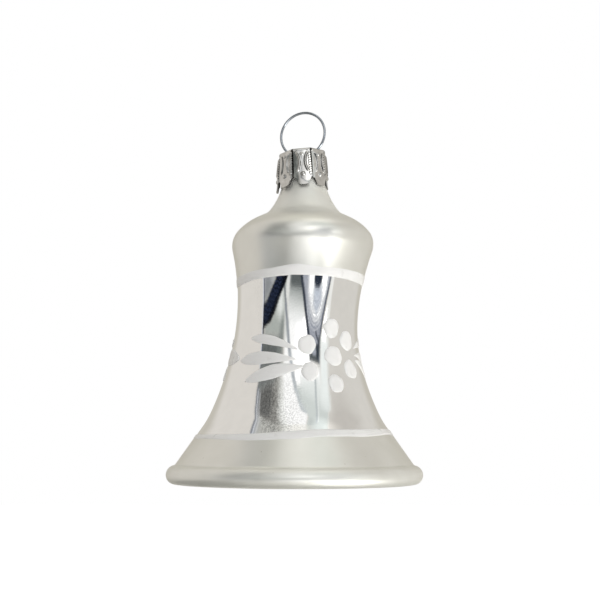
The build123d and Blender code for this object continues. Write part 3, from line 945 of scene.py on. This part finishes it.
def petal(index, random):
    """Top and underside of one sector of a disc that lies on z = 0, with the petal bent down from it."""
    azimuth = CAP_TURN + index * 360 / PETALS
    out, up, tilt, down = petal_profile(azimuth, random)
    edge = DISC * math.tan(math.pi / PETALS)
    widen = np.linspace(edge[-1], PETAL_TOP_WIDTH / 2, BEND_ROWS + 1)[1:]
    half = np.concatenate([edge, widen, petal_half_width(down)])
    down = np.concatenate([np.zeros(len(DISC) + BEND_ROWS), down])[:, None]
    aside = half[:, None] * np.linspace(-1, 1, PETAL_COLUMNS)
    on_petal = np.clip(down / 0.3, 0, 1)
    curl = random.uniform(0.05, CURL_MOST) * np.clip((down - CURL_FROM) / 1.6, 0, 1) ** 2
    hollow = -HOLLOW * aside ** 2 * on_petal
    bulge = BULGE * np.sin(math.pi * np.clip(down / PETAL_LENGTH, 0, 1)) + curl
    twist = random.uniform(-0.05, 0.05) * aside * down / PETAL_LENGTH
    relief = embossing(aside, down) * on_petal + hollow + bulge * on_petal + twist
    outward = np.stack([np.cos(tilt), np.zeros_like(tilt), np.sin(tilt)], axis=-1)[:, None, :]
    middle = np.stack(np.broadcast_arrays(out[:, None], aside, up[:, None]), axis=-1)
    over = middle + outward * relief[..., None]
    under = middle + outward * (relief - SHEET)[..., None]
    turn = math.radians(azimuth - 90)
    spin = np.array([[math.cos(turn), math.sin(turn), 0], [-math.sin(turn), math.cos(turn), 0], [0, 0, 1]])
    return over @ spin, under @ spin


def set_cap_askew(points):
    """The cap stands a little tilted and off the neck's middle."""
    turn = math.radians(CAP_TILT)
    tilt = np.array([
        [math.cos(turn), 0, math.sin(turn)],
        [0, 1, 0],
        [-math.sin(turn), 0, math.cos(turn)],
    ])
    return points @ tilt + (CAP_SHIFT, 0, CAP_SEAT)


def crown_cap(material):
    """A disc of eight sectors, each with its petal, and two holes."""
    random = np.random.default_rng(5)
    sectors = [layer(*petal(index, random), False, len(DISC) - 1) for index in range(PETALS)]
    vertices, faces = join_meshes(sectors)
    cap = add_piece(
        "crown_cap_pressing", "cap", "crown_cap", "pressed_tinplate",
        set_cap_askew(vertices), faces, [material], sharp=50,
    )
    cut_wire_holes(cap)
    mark_grime_and_shade(cap.data)


def cut_wire_holes(cap):
    """Punches the two holes that the hanger's legs go through."""
    turn = math.radians(-LOOP_TURN)
    cutters = []
    for side in (-HOLE_SPREAD, HOLE_SPREAD):
        points, faces = lathe([(0, -1), (HOLE_RADIUS, -1), (HOLE_RADIUS, 1.5), (0, 1.5)], 32)
        points = points + (side * math.cos(turn), side * math.sin(turn), 0)
        cutters.append((set_cap_askew(points), faces))
    cutter = add_object("hole_cutter", welded_mesh("hole_cutter", *join_meshes(cutters)))
    cut = cap.modifiers.new("holes", "BOOLEAN")
    cut.operation = "DIFFERENCE"
    cut.solver = "EXACT"
    cut.object = cutter
    depsgraph = bpy.context.evaluated_depsgraph_get()
    shaped = bpy.data.meshes.new_from_object(cap.evaluated_get(depsgraph))
    cap.modifiers.clear()
    cap.data = shaped
    bpy.data.objects.remove(cutter)


def mark_grime_and_shade(mesh):
    """Marks random dirt all over, and painted shade on the slopes and edges of the pressing and on the cap's
    underside and inner faces.
    """
    points = points_of(mesh)
    normals = np.empty(len(mesh.vertices) * 3)
    mesh.vertices.foreach_get("normal", normals)
    normals = normals.reshape(-1, 3)
    outward = (points - (CAP_SHIFT + LEAN, 0, 0))[:, :2]
    outward = outward / np.linalg.norm(outward, axis=1, keepdims=True).clip(1e-6)
    facing = np.maximum((normals[:, :2] * outward).sum(axis=1), normals[:, 2])
    # painted shade: faces that turn sideways or down, such as the embossing's flanks, the edges and the
    # underside, are darkened
    shaded_slopes = smooth((0.95 - facing) / 0.4) * smooth((facing + 0.8) / 0.4)
    grime_and_shade = 0.12 * (1 + waves(points, 1.1, 41)) + 0.85 * shaded_slopes
    mark(mesh, "grime_and_shade", np.clip(grime_and_shade, 0, 1))


# ---- hanger ----------------------------------------------------------------

def hanger_wire(material):
    """One spring wire: a leg, the loop, and the other leg, in a plane turned a little from the front."""
    bend_middle = HOLE_SPREAD + SHOULDER_BEND
    reach = math.sqrt((LOOP_RADIUS + SHOULDER_BEND) ** 2 - bend_middle ** 2)
    spring = math.radians(LEG_SPRING)
    inward = math.atan2(reach, bend_middle)
    bend = np.linspace(-spring, inward, 16)
    bend_points = np.stack([
        bend_middle - SHOULDER_BEND * np.cos(bend), SHOULDER_BEND * np.sin(bend) - reach
    ], axis=-1)
    leg = np.linspace(LEG_LENGTH, 0, 60)[:-1]
    leg_points = bend_points[0] + np.stack([leg * math.sin(spring), -leg * math.cos(spring)], axis=-1)
    right = np.concatenate([leg_points, bend_points])
    first = math.atan2(bend_points[-1][1], bend_points[-1][0])
    around = np.linspace(first, math.pi - first, 150)[1:-1]
    loop = LOOP_RADIUS * np.stack([np.cos(around), np.sin(around)], axis=-1)
    left = right[::-1] * (-1, 1)
    flat = np.concatenate([right, loop, left])
    turn = math.radians(-LOOP_TURN)
    aside, height = flat[:, 0], flat[:, 1] + LOOP_HEIGHT
    path = np.stack([aside * math.cos(turn) + CAP_SHIFT, aside * math.sin(turn), height], axis=-1)
    path[:, 0] += LOOP_LEAN * np.clip(height - CAP_SEAT, 0, None)
    shape = tube(path, WIRE, (math.sin(turn), -math.cos(turn), 0))
    add_piece("hanger_loop", "hanger", "hanger_wire", "spring_wire", *shape, [material])


# ---- clapper ---------------------------------------------------------------

EYE_HEIGHT = DROP_BOTTOM - EYE_WIRE - EYE_RADIUS
LINK_PIVOT = EYE_HEIGHT - EYE_RADIUS
CLAPPER_PIVOT = LINK_PIVOT - LINK_SPAN - LINK_END_RADIUS
FACING_FRONT = (0, -1, 0)
FACING_SIDE = (1, 0, 0)


def wire_ring(height, radius, wire):
    """An upright ring of wire, facing the front."""
    angle = np.linspace(0, 2 * math.pi, 64, endpoint=False)
    path = np.stack([radius * np.sin(angle), 0 * angle, height + radius * np.cos(angle)], axis=-1)
    return tube(path, wire, FACING_FRONT, closed=True)


def upright_wire(low, high, wire):
    """A straight wire on the bell's axis."""
    height = np.linspace(low, high, 24)
    return tube(np.stack([0 * height, 0 * height, height], axis=-1), wire, FACING_FRONT)


def clapper_eye(material):
    """The eye on the dome's top, with its stem in the glass drop."""
    stem = upright_wire(EYE_HEIGHT + EYE_RADIUS - WIRE_OVERLAP, DROP_BOTTOM + STEM_DEPTH, EYE_WIRE)
    eye = join_meshes([wire_ring(EYE_HEIGHT, EYE_RADIUS, EYE_WIRE), stem])
    add_piece("clapper_eye_wire", "bell", "clapper_eye", "clapper_steel", *eye, [material])


def clapper_link(material):
    """An oval link, facing the side."""
    half_turn = np.linspace(0, math.pi, 32)
    aside, rise = LINK_END_RADIUS * np.cos(half_turn), LINK_END_RADIUS * np.sin(half_turn)
    aside = np.concatenate([aside, -aside])
    height = np.concatenate([LINK_PIVOT + rise, LINK_PIVOT - LINK_SPAN - rise])
    shape = tube(np.stack([0 * aside, aside, height], axis=-1), LINK_WIRE, FACING_SIDE, closed=True)
    add_piece("clapper_link_wire", "link", "clapper_link", "clapper_steel", *shape, [material])


def clapper_wire(material):
    """The clapper's loop, its shank through the bead, and the upset head below the bead."""
    foot = BEAD_HEIGHT - BEAD_RADIUS + BEAD_FLAT - HEAD_THICKNESS
    neck = CLAPPER_PIVOT - CLAPPER_LOOP_RADIUS + WIRE_OVERLAP
    shank = upright_wire(foot + WIRE_OVERLAP, neck, CLAPPER_WIRE)
    rounded = ((0, 0), (0.7, 0), (0.93, 0.06), (1, 0.15), (1, 0.25), (0.9, HEAD_THICKNESS))
    profile = rounded + ((0, HEAD_THICKNESS),)
    head = lathe([(share * HEAD_RADIUS, foot + rise) for share, rise in profile], 40)
    wire = join_meshes([wire_ring(CLAPPER_PIVOT, CLAPPER_LOOP_RADIUS, CLAPPER_WIRE), shank, head])
    add_piece("clapper_shank_wire", "clapper", "clapper_wire", "clapper_steel", *wire, [material])


def clapper_bead(material):
    """A ball with a bore from its ground top to its ground bottom."""
    flat = math.acos((BEAD_RADIUS - BEAD_FLAT) / BEAD_RADIUS)
    angle = np.linspace(flat, math.pi - flat, 72)
    ball = [(BEAD_RADIUS * math.sin(a), BEAD_HEIGHT + BEAD_RADIUS * math.cos(a)) for a in angle]
    top, bottom, mouth = ball[0][1], ball[-1][1], BEAD_BORE + BORE_ROUNDING
    bore = [(mouth, bottom), (BEAD_BORE, bottom), (BEAD_BORE, top), (mouth, top)]
    shape = lathe(ball + bore + ball[:1], 96)
    add_piece("clapper_glass_bead", "clapper", "clapper_bead", "clapper_glass", *shape, [material], sharp=40)


# ---- what surrounds the bell: a white tent with things that show in the mirror

MIRROR = 0.92                 # light that the silvering gives back
SURROUND_RADIUS = 3000.0
SURROUND_HEIGHT = 28.0        # of its middle: the bell's waist
WINDOW_GAIN = 1.2             # how much more light the white in front gives than plain white
EDGE_GAIN = 2.2               # and its right edge
LOW_WINDOW = 2.0              # and the window's lower part, which only the underside sees
ROOF_GAIN = 0.5               # how much more light the roof gives at the right, which only the lacquer sees


def seen(colour):
    """Light that looks like a screen colour in the mirror."""
    return np.array(linear(colour)) / MIRROR


class Surround:
    """Colours over azimuth and elevation, painted in layers from soft-edged shapes."""

    def __init__(self, azimuth, elevation):
        self.azimuth, self.elevation = np.meshgrid(azimuth, elevation)
        self.light = np.ones((*self.azimuth.shape, 3))

    def lay(self, light, amount):
        """Covers with a light, by an amount from 0 to 1 at each place."""
        self.light = self.light * (1 - amount[..., None]) + light * amount[..., None]

    def to_line(self, points, ring):
        """Degrees to the nearest part of a line of points, and whether a place is inside its ring."""
        nearest = np.full(self.azimuth.shape, np.inf)
        inside = np.zeros(self.azimuth.shape, dtype=bool)
        ends = points[1:] + points[:1] if ring else points[1:]
        for (x0, y0), (x1, y1) in zip(points, ends):
            run_x, run_y = x1 - x0, y1 - y0
            away_x, away_y = self.azimuth - x0, self.elevation - y0
            along = np.clip((away_x * run_x + away_y * run_y) / (run_x ** 2 + run_y ** 2), 0, 1)
            gap = np.hypot(away_x - along * run_x, away_y - along * run_y)
            nearest = np.minimum(nearest, gap)
            if y0 != y1:
                crosses = (y0 > self.elevation) != (y1 > self.elevation)
                inside ^= crosses & (self.azimuth < x0 + away_y * run_x / run_y)
        return nearest, inside

    def cover(self, points, soft):
        """How far each place lies within a shape, from 0 to 1."""
        nearest, inside = self.to_line(points, True)
        return smooth(0.5 + np.where(inside, nearest, -nearest) / (2 * soft))

    def area(self, points, colour, soft=1.0, amount=1.0):
        """A shape in a screen colour."""
        self.lay(seen(colour), amount * self.cover(points, soft))

    def roughen(self, points, soft, amount, seed):
        """Fine grain over a shape, in dashes that lie level."""
        mask = self.cover(points, soft)
        grain = np.random.default_rng(seed).normal(size=self.azimuth.shape)
        grain = sum(np.roll(grain, shift, axis=1) for shift in range(4)) / 2
        self.light *= np.clip(1 + amount * mask * grain, 0.3, 1.8)[..., None]

    def stroke(self, points, width, colour, soft=0.6, amount=1.0):
        """A line in a screen colour."""
        nearest = self.to_line(points, False)[0]
        self.lay(seen(colour), amount * smooth(0.5 + (width / 2 - nearest) / (2 * soft)))


def paint_tent(view):
    """Plain tent: greyer to the sides and behind, dim above, and a floor that is dark at the left."""
    azimuth, elevation = view.azimuth, view.elevation
    view.light[:] = seen((207, 204, 198))
    view.lay(seen((213, 209, 203)), smooth((-azimuth - 55) / 10))
    view.lay(seen((190, 186, 176)), smooth((np.abs(azimuth) - 130) / 20))
    view.lay(seen((196, 195, 185)), smooth((elevation - 72) / 8))
    below = smooth((-elevation - 14) / 14)
    view.lay(seen((190, 188, 182)), below)
    left = smooth((-azimuth - 40) / 40) * smooth((azimuth + 165) / 20)
    view.lay(seen((118, 118, 112)), below * left)
    right = smooth((azimuth - 15) / 20) * smooth((105 - azimuth) / 25)
    view.lay(LOW_WINDOW * seen((255, 255, 250)), below * right)
    view.lay(seen((150, 148, 142)), smooth((-elevation - 60) / 15))


def paint_panel(view):
    """The dark panel at the left, seen above and below the black band."""
    panel = [(-66, -30), (-64, 40), (-70, 50), (-84, 58), (-60, 91), (-22, 91), (-22, -30)]
    view.area(panel, (176, 176, 171), 1.2)
    view.area([(-64, 36), (-66, 46), (-52, 60), (-38, 66), (-30, 52), (-27, 38)], (140, 139, 135), 5.0)
    view.area([(-62, 37), (-60, 50), (-48, 56), (-40, 48), (-37, 37)], (104, 104, 102), 4.5)
    view.area([(-64, 29), (-65, 38), (-36, 38), (-28, 36), (-27, 29)], (116, 120, 119), 2.5)
    view.area([(-65, 21), (-64, 30), (-27, 32), (-25, 22)], (98, 102, 101), 2.5)
    above_band = [(-60, 17), (-50, 16), (-30, 3), (-22, -2), (-21, 12), (-25, 21), (-58, 20)]
    view.area(above_band, (168, 173, 168), 2.5)
    view.area([(-38, 5), (-30, 0), (-26, 8), (-30, 13), (-38, 10)], (226, 229, 226), 5.0)
    view.area([(-29, 13), (-23, 12), (-23, 30), (-34, 28)], (128, 133, 131), 4.0, 0.8)
    view.area([(-67, 8), (-52, 3.5), (-40, -3), (-36, -14), (-68, -14)], (170, 172, 174), 1.5)
    view.area([(-66, 9), (-56, 6), (-50, 2), (-56, -1), (-64, 0)], (128, 131, 134), 3.0, 0.8)
    view.area([(-23, 36), (-27, 52), (-30, 91), (-12, 91), (-12, 36)], (238, 239, 236), 7.0)
    view.roughen([(-66, 20), (-66, 50), (-70, 91), (-24, 91), (-24, 36), (-26, 20)], 4.0, 0.16, 3)
    view.roughen([(-64, 34), (-66, 50), (-70, 91), (-34, 91), (-32, 60), (-26, 34)], 5.0, 0.26, 4)


def paint_panel_edge(view):
    """The panel's left edge: a slate line beside a pale one, which fan out above."""
    rising = [(-67.2, -12), (-66.8, 2), (-65.6, 12), (-64.2, 22), (-63.2, 30)]
    view.stroke([(x - 1.9, y) for x, y in rising], 1.6, (214, 217, 224), 0.8)
    view.stroke(rising, 1.7, (70, 77, 94), 0.5)
    view.stroke(rising[2:4], 2.2, (40, 47, 58), 0.8)
    fan = [(-64.6, 37), (-65.4, 43), (-67.4, 48), (-70.6, 52), (-77, 55.5), (-85, 58.5)]
    view.stroke(fan, 2.0, (120, 124, 132), 1.0)
    view.stroke([(x + 1.8, y + 0.9) for x, y in fan], 0.9, (214, 218, 226), 0.7)
    view.stroke([(x + 3.4, y + 1.7) for x, y in fan], 0.9, (150, 153, 160), 0.8)
    view.stroke([(x + 5.4, y + 2.4) for x, y in fan], 1.2, (205, 207, 210), 1.0, 0.7)
    view.stroke([(x + 9.0, y + 3.4) for x, y in fan[2:]], 1.0, (170, 171, 170), 1.0, 0.6)


def paint_black_band(view):
    """A black band that slants down to the right, with fine navy ripples in it."""
    band = [
        (-66, 17.8), (-60, 17), (-50, 15.5), (-45, 12.5), (-40, 9.5), (-35, 6.2), (-30, 3), (-25, 0),
        (-20, -4), (-14, -12), (-28, -14), (-36, -5), (-40, -2.5), (-45, 0.5), (-50, 3), (-55, 5.6),
        (-60, 8), (-67, 9.4),
    ]
    view.area(band, (9, 12, 20), 0.7)
    ripples = view.elevation + 0.35 * np.sin(0.9 * view.azimuth) + 0.2 * np.sin(2.3 * view.azimuth + 1)
    ripples = smooth(0.1 + 0.9 * np.sin(2 * math.pi * ripples / 1.7))
    within = view.cover([(-66, 15), (-58, 15), (-36, 3.5), (-27, -4), (-38, -4), (-52, 4), (-66, 10.5)], 1.5)
    view.lay(seen((62, 74, 104)), 0.6 * ripples * within)


def paint_bright_middle(view):
    """The white wall in front, the grey arch that stands before it, and the pale green wall to its right."""
    white = (252, 252, 251)
    wall = [
        (-19, 20), (-14, 14), (-6, 8), (22, 9), (30, 30), (46, 34), (46, 42), (22, 50), (30, 91), (-14, 91),
        (-19, 40), (-20, 34),
    ]
    view.area(wall, white, 3.0)
    foot = ((14, (240, 241, 240)), (9, (215, 217, 215)), (4.5, (170, 174, 172)), (0, (112, 117, 117)))
    for top, colour in foot:
        view.area([(-17, -20), (-17, top), (12, top), (12, -20)], colour, 3.2)
    view.area([(-15, -20), (-14, 0), (8, -1), (8, -20)], (92, 97, 97), 2.0)
    view.area([(-15, -40), (-15, -9), (26, -9), (26, -40)], white, 3.0)
    view.area([(-24, 8), (-18, 10), (-17, -4), (-17, -16), (-21, -16)], (222, 223, 220), 1.6)
    view.area([(-24, 9), (-18, 11), (-15, 22), (-21, 22)], (214, 216, 213), 2.5)
    side_wall = [
        (2, 43), (10, 48), (20, 52), (26, 58), (30, 91), (72, 91), (68, 58), (58, 49), (60, 40), (30, 40),
    ]
    view.area(side_wall, (203, 209, 206), 1.5)
    view.area([(12, 44), (56, 46), (56, 36), (8, 38)], (230, 234, 232), 4.0, 0.8)
    view.area([(30, 60), (60, 60), (64, 91), (34, 91)], (186, 192, 190), 4.0, 0.7)
    view.stroke([(37, 36), (37, 46), (40, 54), (45, 62)], 3.2, (184, 190, 191), 1.1)
    view.stroke([(40.4, 36), (40.4, 47), (43, 54), (47, 61)], 1.6, (226, 230, 228), 0.8)
    view.stroke([(63, 40), (58.5, 47), (61, 54), (70, 62)], 1.0, (222, 222, 217), 0.6)
    arch = [
        (-27, 0), (-24.5, 4), (-22, 7.5), (-19.5, 11), (-17, 15), (-14, 20), (-11.5, 25), (-9, 29.5),
        (-6, 34), (-3, 38), (1, 42.5), (6, 46.5), (12, 50), (20, 53),
    ]
    shades = (
        (0, 3, 1.8, (96, 101, 110)), (2, 5, 3.6, (132, 137, 144)), (4, 8, 4.6, (154, 159, 164)),
        (7, 11, 4.2, (174, 179, 184)), (10, 14, 3.0, (190, 196, 198)),
    )
    for first, last, width, colour in shades:
        view.stroke(arch[first:last], width, colour, 1.5)
    view.roughen([(-24, 34), (-24, 91), (26, 91), (20, 50), (4, 34)], 4.0, 0.07, 6)


def paint_figure(view):
    """Two dark legs joined below a coil, standing before the window."""
    between = [
        (26, 29), (45, 29), (46, 18), (50, 5), (56, -6), (56, -14), (4, -14), (6, -2), (12, 4), (18, 11),
    ]
    view.area(between, (166, 170, 180), 1.0)
    lit = [(24, 6), (32, 11), (42, 10), (47, 4), (52, -3), (52, -14), (14, -14), (17, 0)]
    view.area(lit, (251, 252, 252), 3.0)
    view.area([(29, 4), (36, 7), (43, 2), (42, -3), (27, -4)], (205, 212, 224), 2.0)
    for reach in range(6, 19):
        turns = [math.radians(angle) for angle in range(20, 164, 12)]
        bow = [(34 + 1.05 * reach * math.cos(turn), -5 + 1.1 * reach * math.sin(turn)) for turn in turns]
        colour = (120, 128, 146) if reach % 2 else (246, 248, 250)
        view.stroke(bow, 0.5, colour, 0.45, 0.6)
    for rung in range(12):
        foot = (9 + 1.2 * rung, -4 + 1.45 * rung)
        crest = (foot[0] + 3 + 0.8 * math.sin(2 * rung), foot[1] - 0.1)
        view.stroke([foot, crest, (foot[0] + 6, foot[1] - 1.5)], 0.35, (236, 238, 243), 0.5, 0.45)
    view.area([(27, -3.8), (30, -2.4), (36, -2.3), (40, -4), (43, -14), (24, -14)], (44, 52, 66), 0.9)
    view.area([(27, 25), (34, 28), (45, 27), (46, 31.5), (27, 31.5)], (84, 89, 91), 1.2)
    view.area([(38, 22), (46.5, 20), (46, 31), (40, 29)], (54, 60, 68), 1.3)
    across = view.elevation + 0.5 * np.sin(0.7 * view.azimuth) - 0.12 * np.abs(view.azimuth - 36)
    within = view.cover([(25, 20), (46, 20), (50, 5), (55, -8), (5, -8), (12, 4)], 1.5)
    view.light *= (1 - 0.3 * within * smooth(0.5 + 0.5 * np.sin(2 * math.pi * across / 1.5)))[..., None]
    left_leg = [(26, 20), (20.5, 13), (15.5, 7), (10.5, 2), (4, -4), (0, -10)]
    view.stroke(left_leg, 3.4, (50, 56, 66), 1.1)
    right_leg = [(45, 30), (45.6, 20), (47, 13), (49.5, 7), (52.5, 1.5), (56, -4), (60, -12)]
    view.stroke(right_leg, 2.6, (80, 87, 99), 0.9)
    view.stroke([(44.4, 27), (44.6, 18)], 2.8, (40, 46, 54), 1.0)
    view.stroke([(44, 21), (37.5, 15.5)], 1.8, (62, 67, 78), 0.8)
    beside = [(48.5, 36), (49, 18), (51.5, 10), (57, 0), (61, -8), (66, -20), (61, 16), (58, 36)]
    view.area(beside, (254, 254, 252), 1.6)
    view.area([(48, 18), (62, 18), (60, 44), (47, 44)], (234, 239, 237), 5.0)
    view.area([(58, 18), (63, 18), (64, -16), (60, -16), (57, 4)], (228, 228, 224), 2.0, 0.8)


def paint_top(view):
    """The tent's roof, and the darker fold where it comes down at the right."""
    view.area([(66, 40), (66, 56), (80, 66), (112, 60), (112, 36), (80, 34)], (190, 186, 180), 9.0, 0.9)
    azimuth, elevation = view.azimuth, view.elevation
    roof = smooth((elevation - 66) / 9)
    view.lay(seen((220, 218, 207)), 0.9 * roof)
    view.lay(seen((250, 248, 241)), roof * smooth((azimuth + 12) / 14) * smooth((110 - azimuth) / 40))
    right = smooth((elevation - 52) / 12) * smooth((azimuth - 30) / 25) * smooth((125 - azimuth) / 25)
    view.light *= (1 + ROOF_GAIN * right)[..., None]


def brighten_window(view):
    """Makes the white at the right of the front shine, most of all its right edge, which lights the bell."""
    azimuth, elevation = view.azimuth, view.elevation
    white = smooth((view.light.min(axis=-1) - 0.94) / 0.14)
    upright = smooth((elevation + 34) / 10) * smooth((46 - elevation) / 12)
    across = smooth((azimuth + 4) / 16) * smooth((64 - azimuth) / 6)
    edge = smooth((azimuth - 45) / 4) * smooth((64 - azimuth) / 5) * smooth((26 - elevation) / 10)
    view.light *= 1 + ((WINDOW_GAIN * across + EDGE_GAIN * edge) * upright * white)[..., None]


FINE, COARSE = 0.4, 2.0       # degrees between points of the grid where the mirror shows it, and elsewhere


def grid_line(start, fine_from, fine_to, end):
    """Degrees along one side of the grid."""
    spans = ((start, fine_from, COARSE), (fine_from, fine_to, FINE), (fine_to, end + 1, COARSE))
    return np.concatenate([np.arange(*span) for span in spans])


def painted_surround():
    """All layers, one over the other."""
    view = Surround(grid_line(-180, -90, 80, 180), grid_line(-90, -16, 76, 90))
    paint_tent(view)
    paint_panel(view)
    paint_bright_middle(view)
    paint_panel_edge(view)
    paint_black_band(view)
    paint_figure(view)
    paint_top(view)
    brighten_window(view)
    return view


def tent_glow():
    """Gives out the light that is painted on the tent."""
    material = bpy.data.materials.new("studio_tent")
    material.use_nodes = True
    nodes, links = material.node_tree.nodes, material.node_tree.links
    nodes.remove(nodes["Principled BSDF"])
    glow = nodes.new("ShaderNodeEmission")
    painted = nodes.new("ShaderNodeVertexColor")
    painted.layer_name = "light"
    links.new(painted.outputs["Color"], glow.inputs["Color"])
    links.new(glow.outputs["Emission"], nodes["Material Output"].inputs["Surface"])
    material.cycles.emission_sampling = "NONE"
    return material


def tent():
    """A sphere of light about the bell, which the camera looks through."""
    view = painted_surround()
    around, up = np.radians(view.azimuth), np.radians(view.elevation)
    points = np.stack([np.cos(up) * np.sin(around), -np.cos(up) * np.cos(around), np.sin(up)], axis=-1)
    points = SURROUND_RADIUS * points + (0, 0, SURROUND_HEIGHT)
    mesh = bpy.data.meshes.new("studio_tent")
    faces = grid_faces(*view.azimuth.shape, False)
    mesh.from_pydata((points.reshape(-1, 3) * MM).tolist(), [], faces.tolist())
    light = mesh.color_attributes.new("light", "FLOAT_COLOR", "POINT")
    rgba = np.concatenate([view.light, np.ones((*view.azimuth.shape, 1))], axis=-1)
    light.data.foreach_set("color", rgba.reshape(-1))
    mesh.materials.append(tent_glow())
    sphere = add_object("studio_tent", mesh)
    sphere.visible_camera = False
    sphere.visible_shadow = False


# ---- floor, background and camera ------------------------------------------

FLOOR_DEPTH = 400.0           # the bell hangs this far above the floor
FLOOR_SIZE = 6000.0           # from its middle to its sides
WHITE = (1, 1, 1, 1)


def floor():
    """White ground that only the camera sees."""
    corners = ((-1, -1), (1, -1), (1, 1), (-1, 1))
    places = [(x * FLOOR_SIZE * MM, y * FLOOR_SIZE * MM, -FLOOR_DEPTH * MM) for x, y in corners]
    mesh = bpy.data.meshes.new("studio_floor")
    mesh.from_pydata(places, [], [[0, 1, 2, 3]])
    finish = Finish("studio_floor", (0.9, 0.9, 0.9), 0.0, 0.9)
    finish.shader.inputs["Emission Color"].default_value = WHITE
    finish.shader.inputs["Emission Strength"].default_value = 1.0
    mesh.materials.append(finish.material)
    ground = add_object("studio_floor", mesh)
    ground.visible_glossy = False
    ground.visible_diffuse = False
    ground.visible_shadow = False


def background():
    """Plain white behind the bell."""
    world = bpy.data.worlds.new("studio")
    world.use_nodes = True
    world.node_tree.nodes["Background"].inputs["Color"].default_value = WHITE
    bpy.context.scene.world = world
    bpy.context.scene.view_settings.view_transform = "Standard"


CAMERA_PLACE = (1.1, -199.95, 8.42)
CAMERA_UP = 8.74              # degrees that it looks up
CAMERA_ROLL = 0.1
CAMERA_LENS = 55.8
CAMERA_SENSOR = 36.0


def camera():
    """A camera close in front of the bell, a little below its middle."""
    data = bpy.data.cameras.new("camera")
    data.lens = CAMERA_LENS
    data.sensor_width = CAMERA_SENSOR
    data.clip_start = 0.01
    data.clip_end = 100.0
    eye = add_object("camera", data)
    place = Matrix.Translation(Vector(CAMERA_PLACE) * MM)
    look = Matrix.Rotation(math.radians(90 + CAMERA_UP), 4, "X")
    roll = Matrix.Rotation(math.radians(CAMERA_ROLL), 4, "Z")
    eye.matrix_world = place @ look @ roll
    bpy.context.scene.camera = eye


# ---- everything ------------------------------------------------------------

lacquer = matt_lacquer()
enamel = white_enamel()
steel = drawn_wire("clapper_steel", (0.6, 0.6, 0.59), 0.26)
glass_bell([silvered_glass(), ground_glass(), shaded_neck_glass()])
lacquer_coats(lacquer)
white_band("enamel_band_upper", "white_band_upper", UPPER_BAND_TOP, UPPER_BAND_FOOT, 31, enamel)
white_band("enamel_band_lower", "white_band_lower", LOWER_BAND_TOP, LOWER_BAND_FOOT, 52, enamel)
painted_sprays(enamel)
crown_cap(pressed_tinplate())
hanger_wire(drawn_wire("spring_wire", (0.4, 0.43, 0.475), 0.1))
clapper_eye(steel)
clapper_link(steel)
clapper_wire(steel)
clapper_bead(silvered_bead())
tent()
floor()
background()
camera()
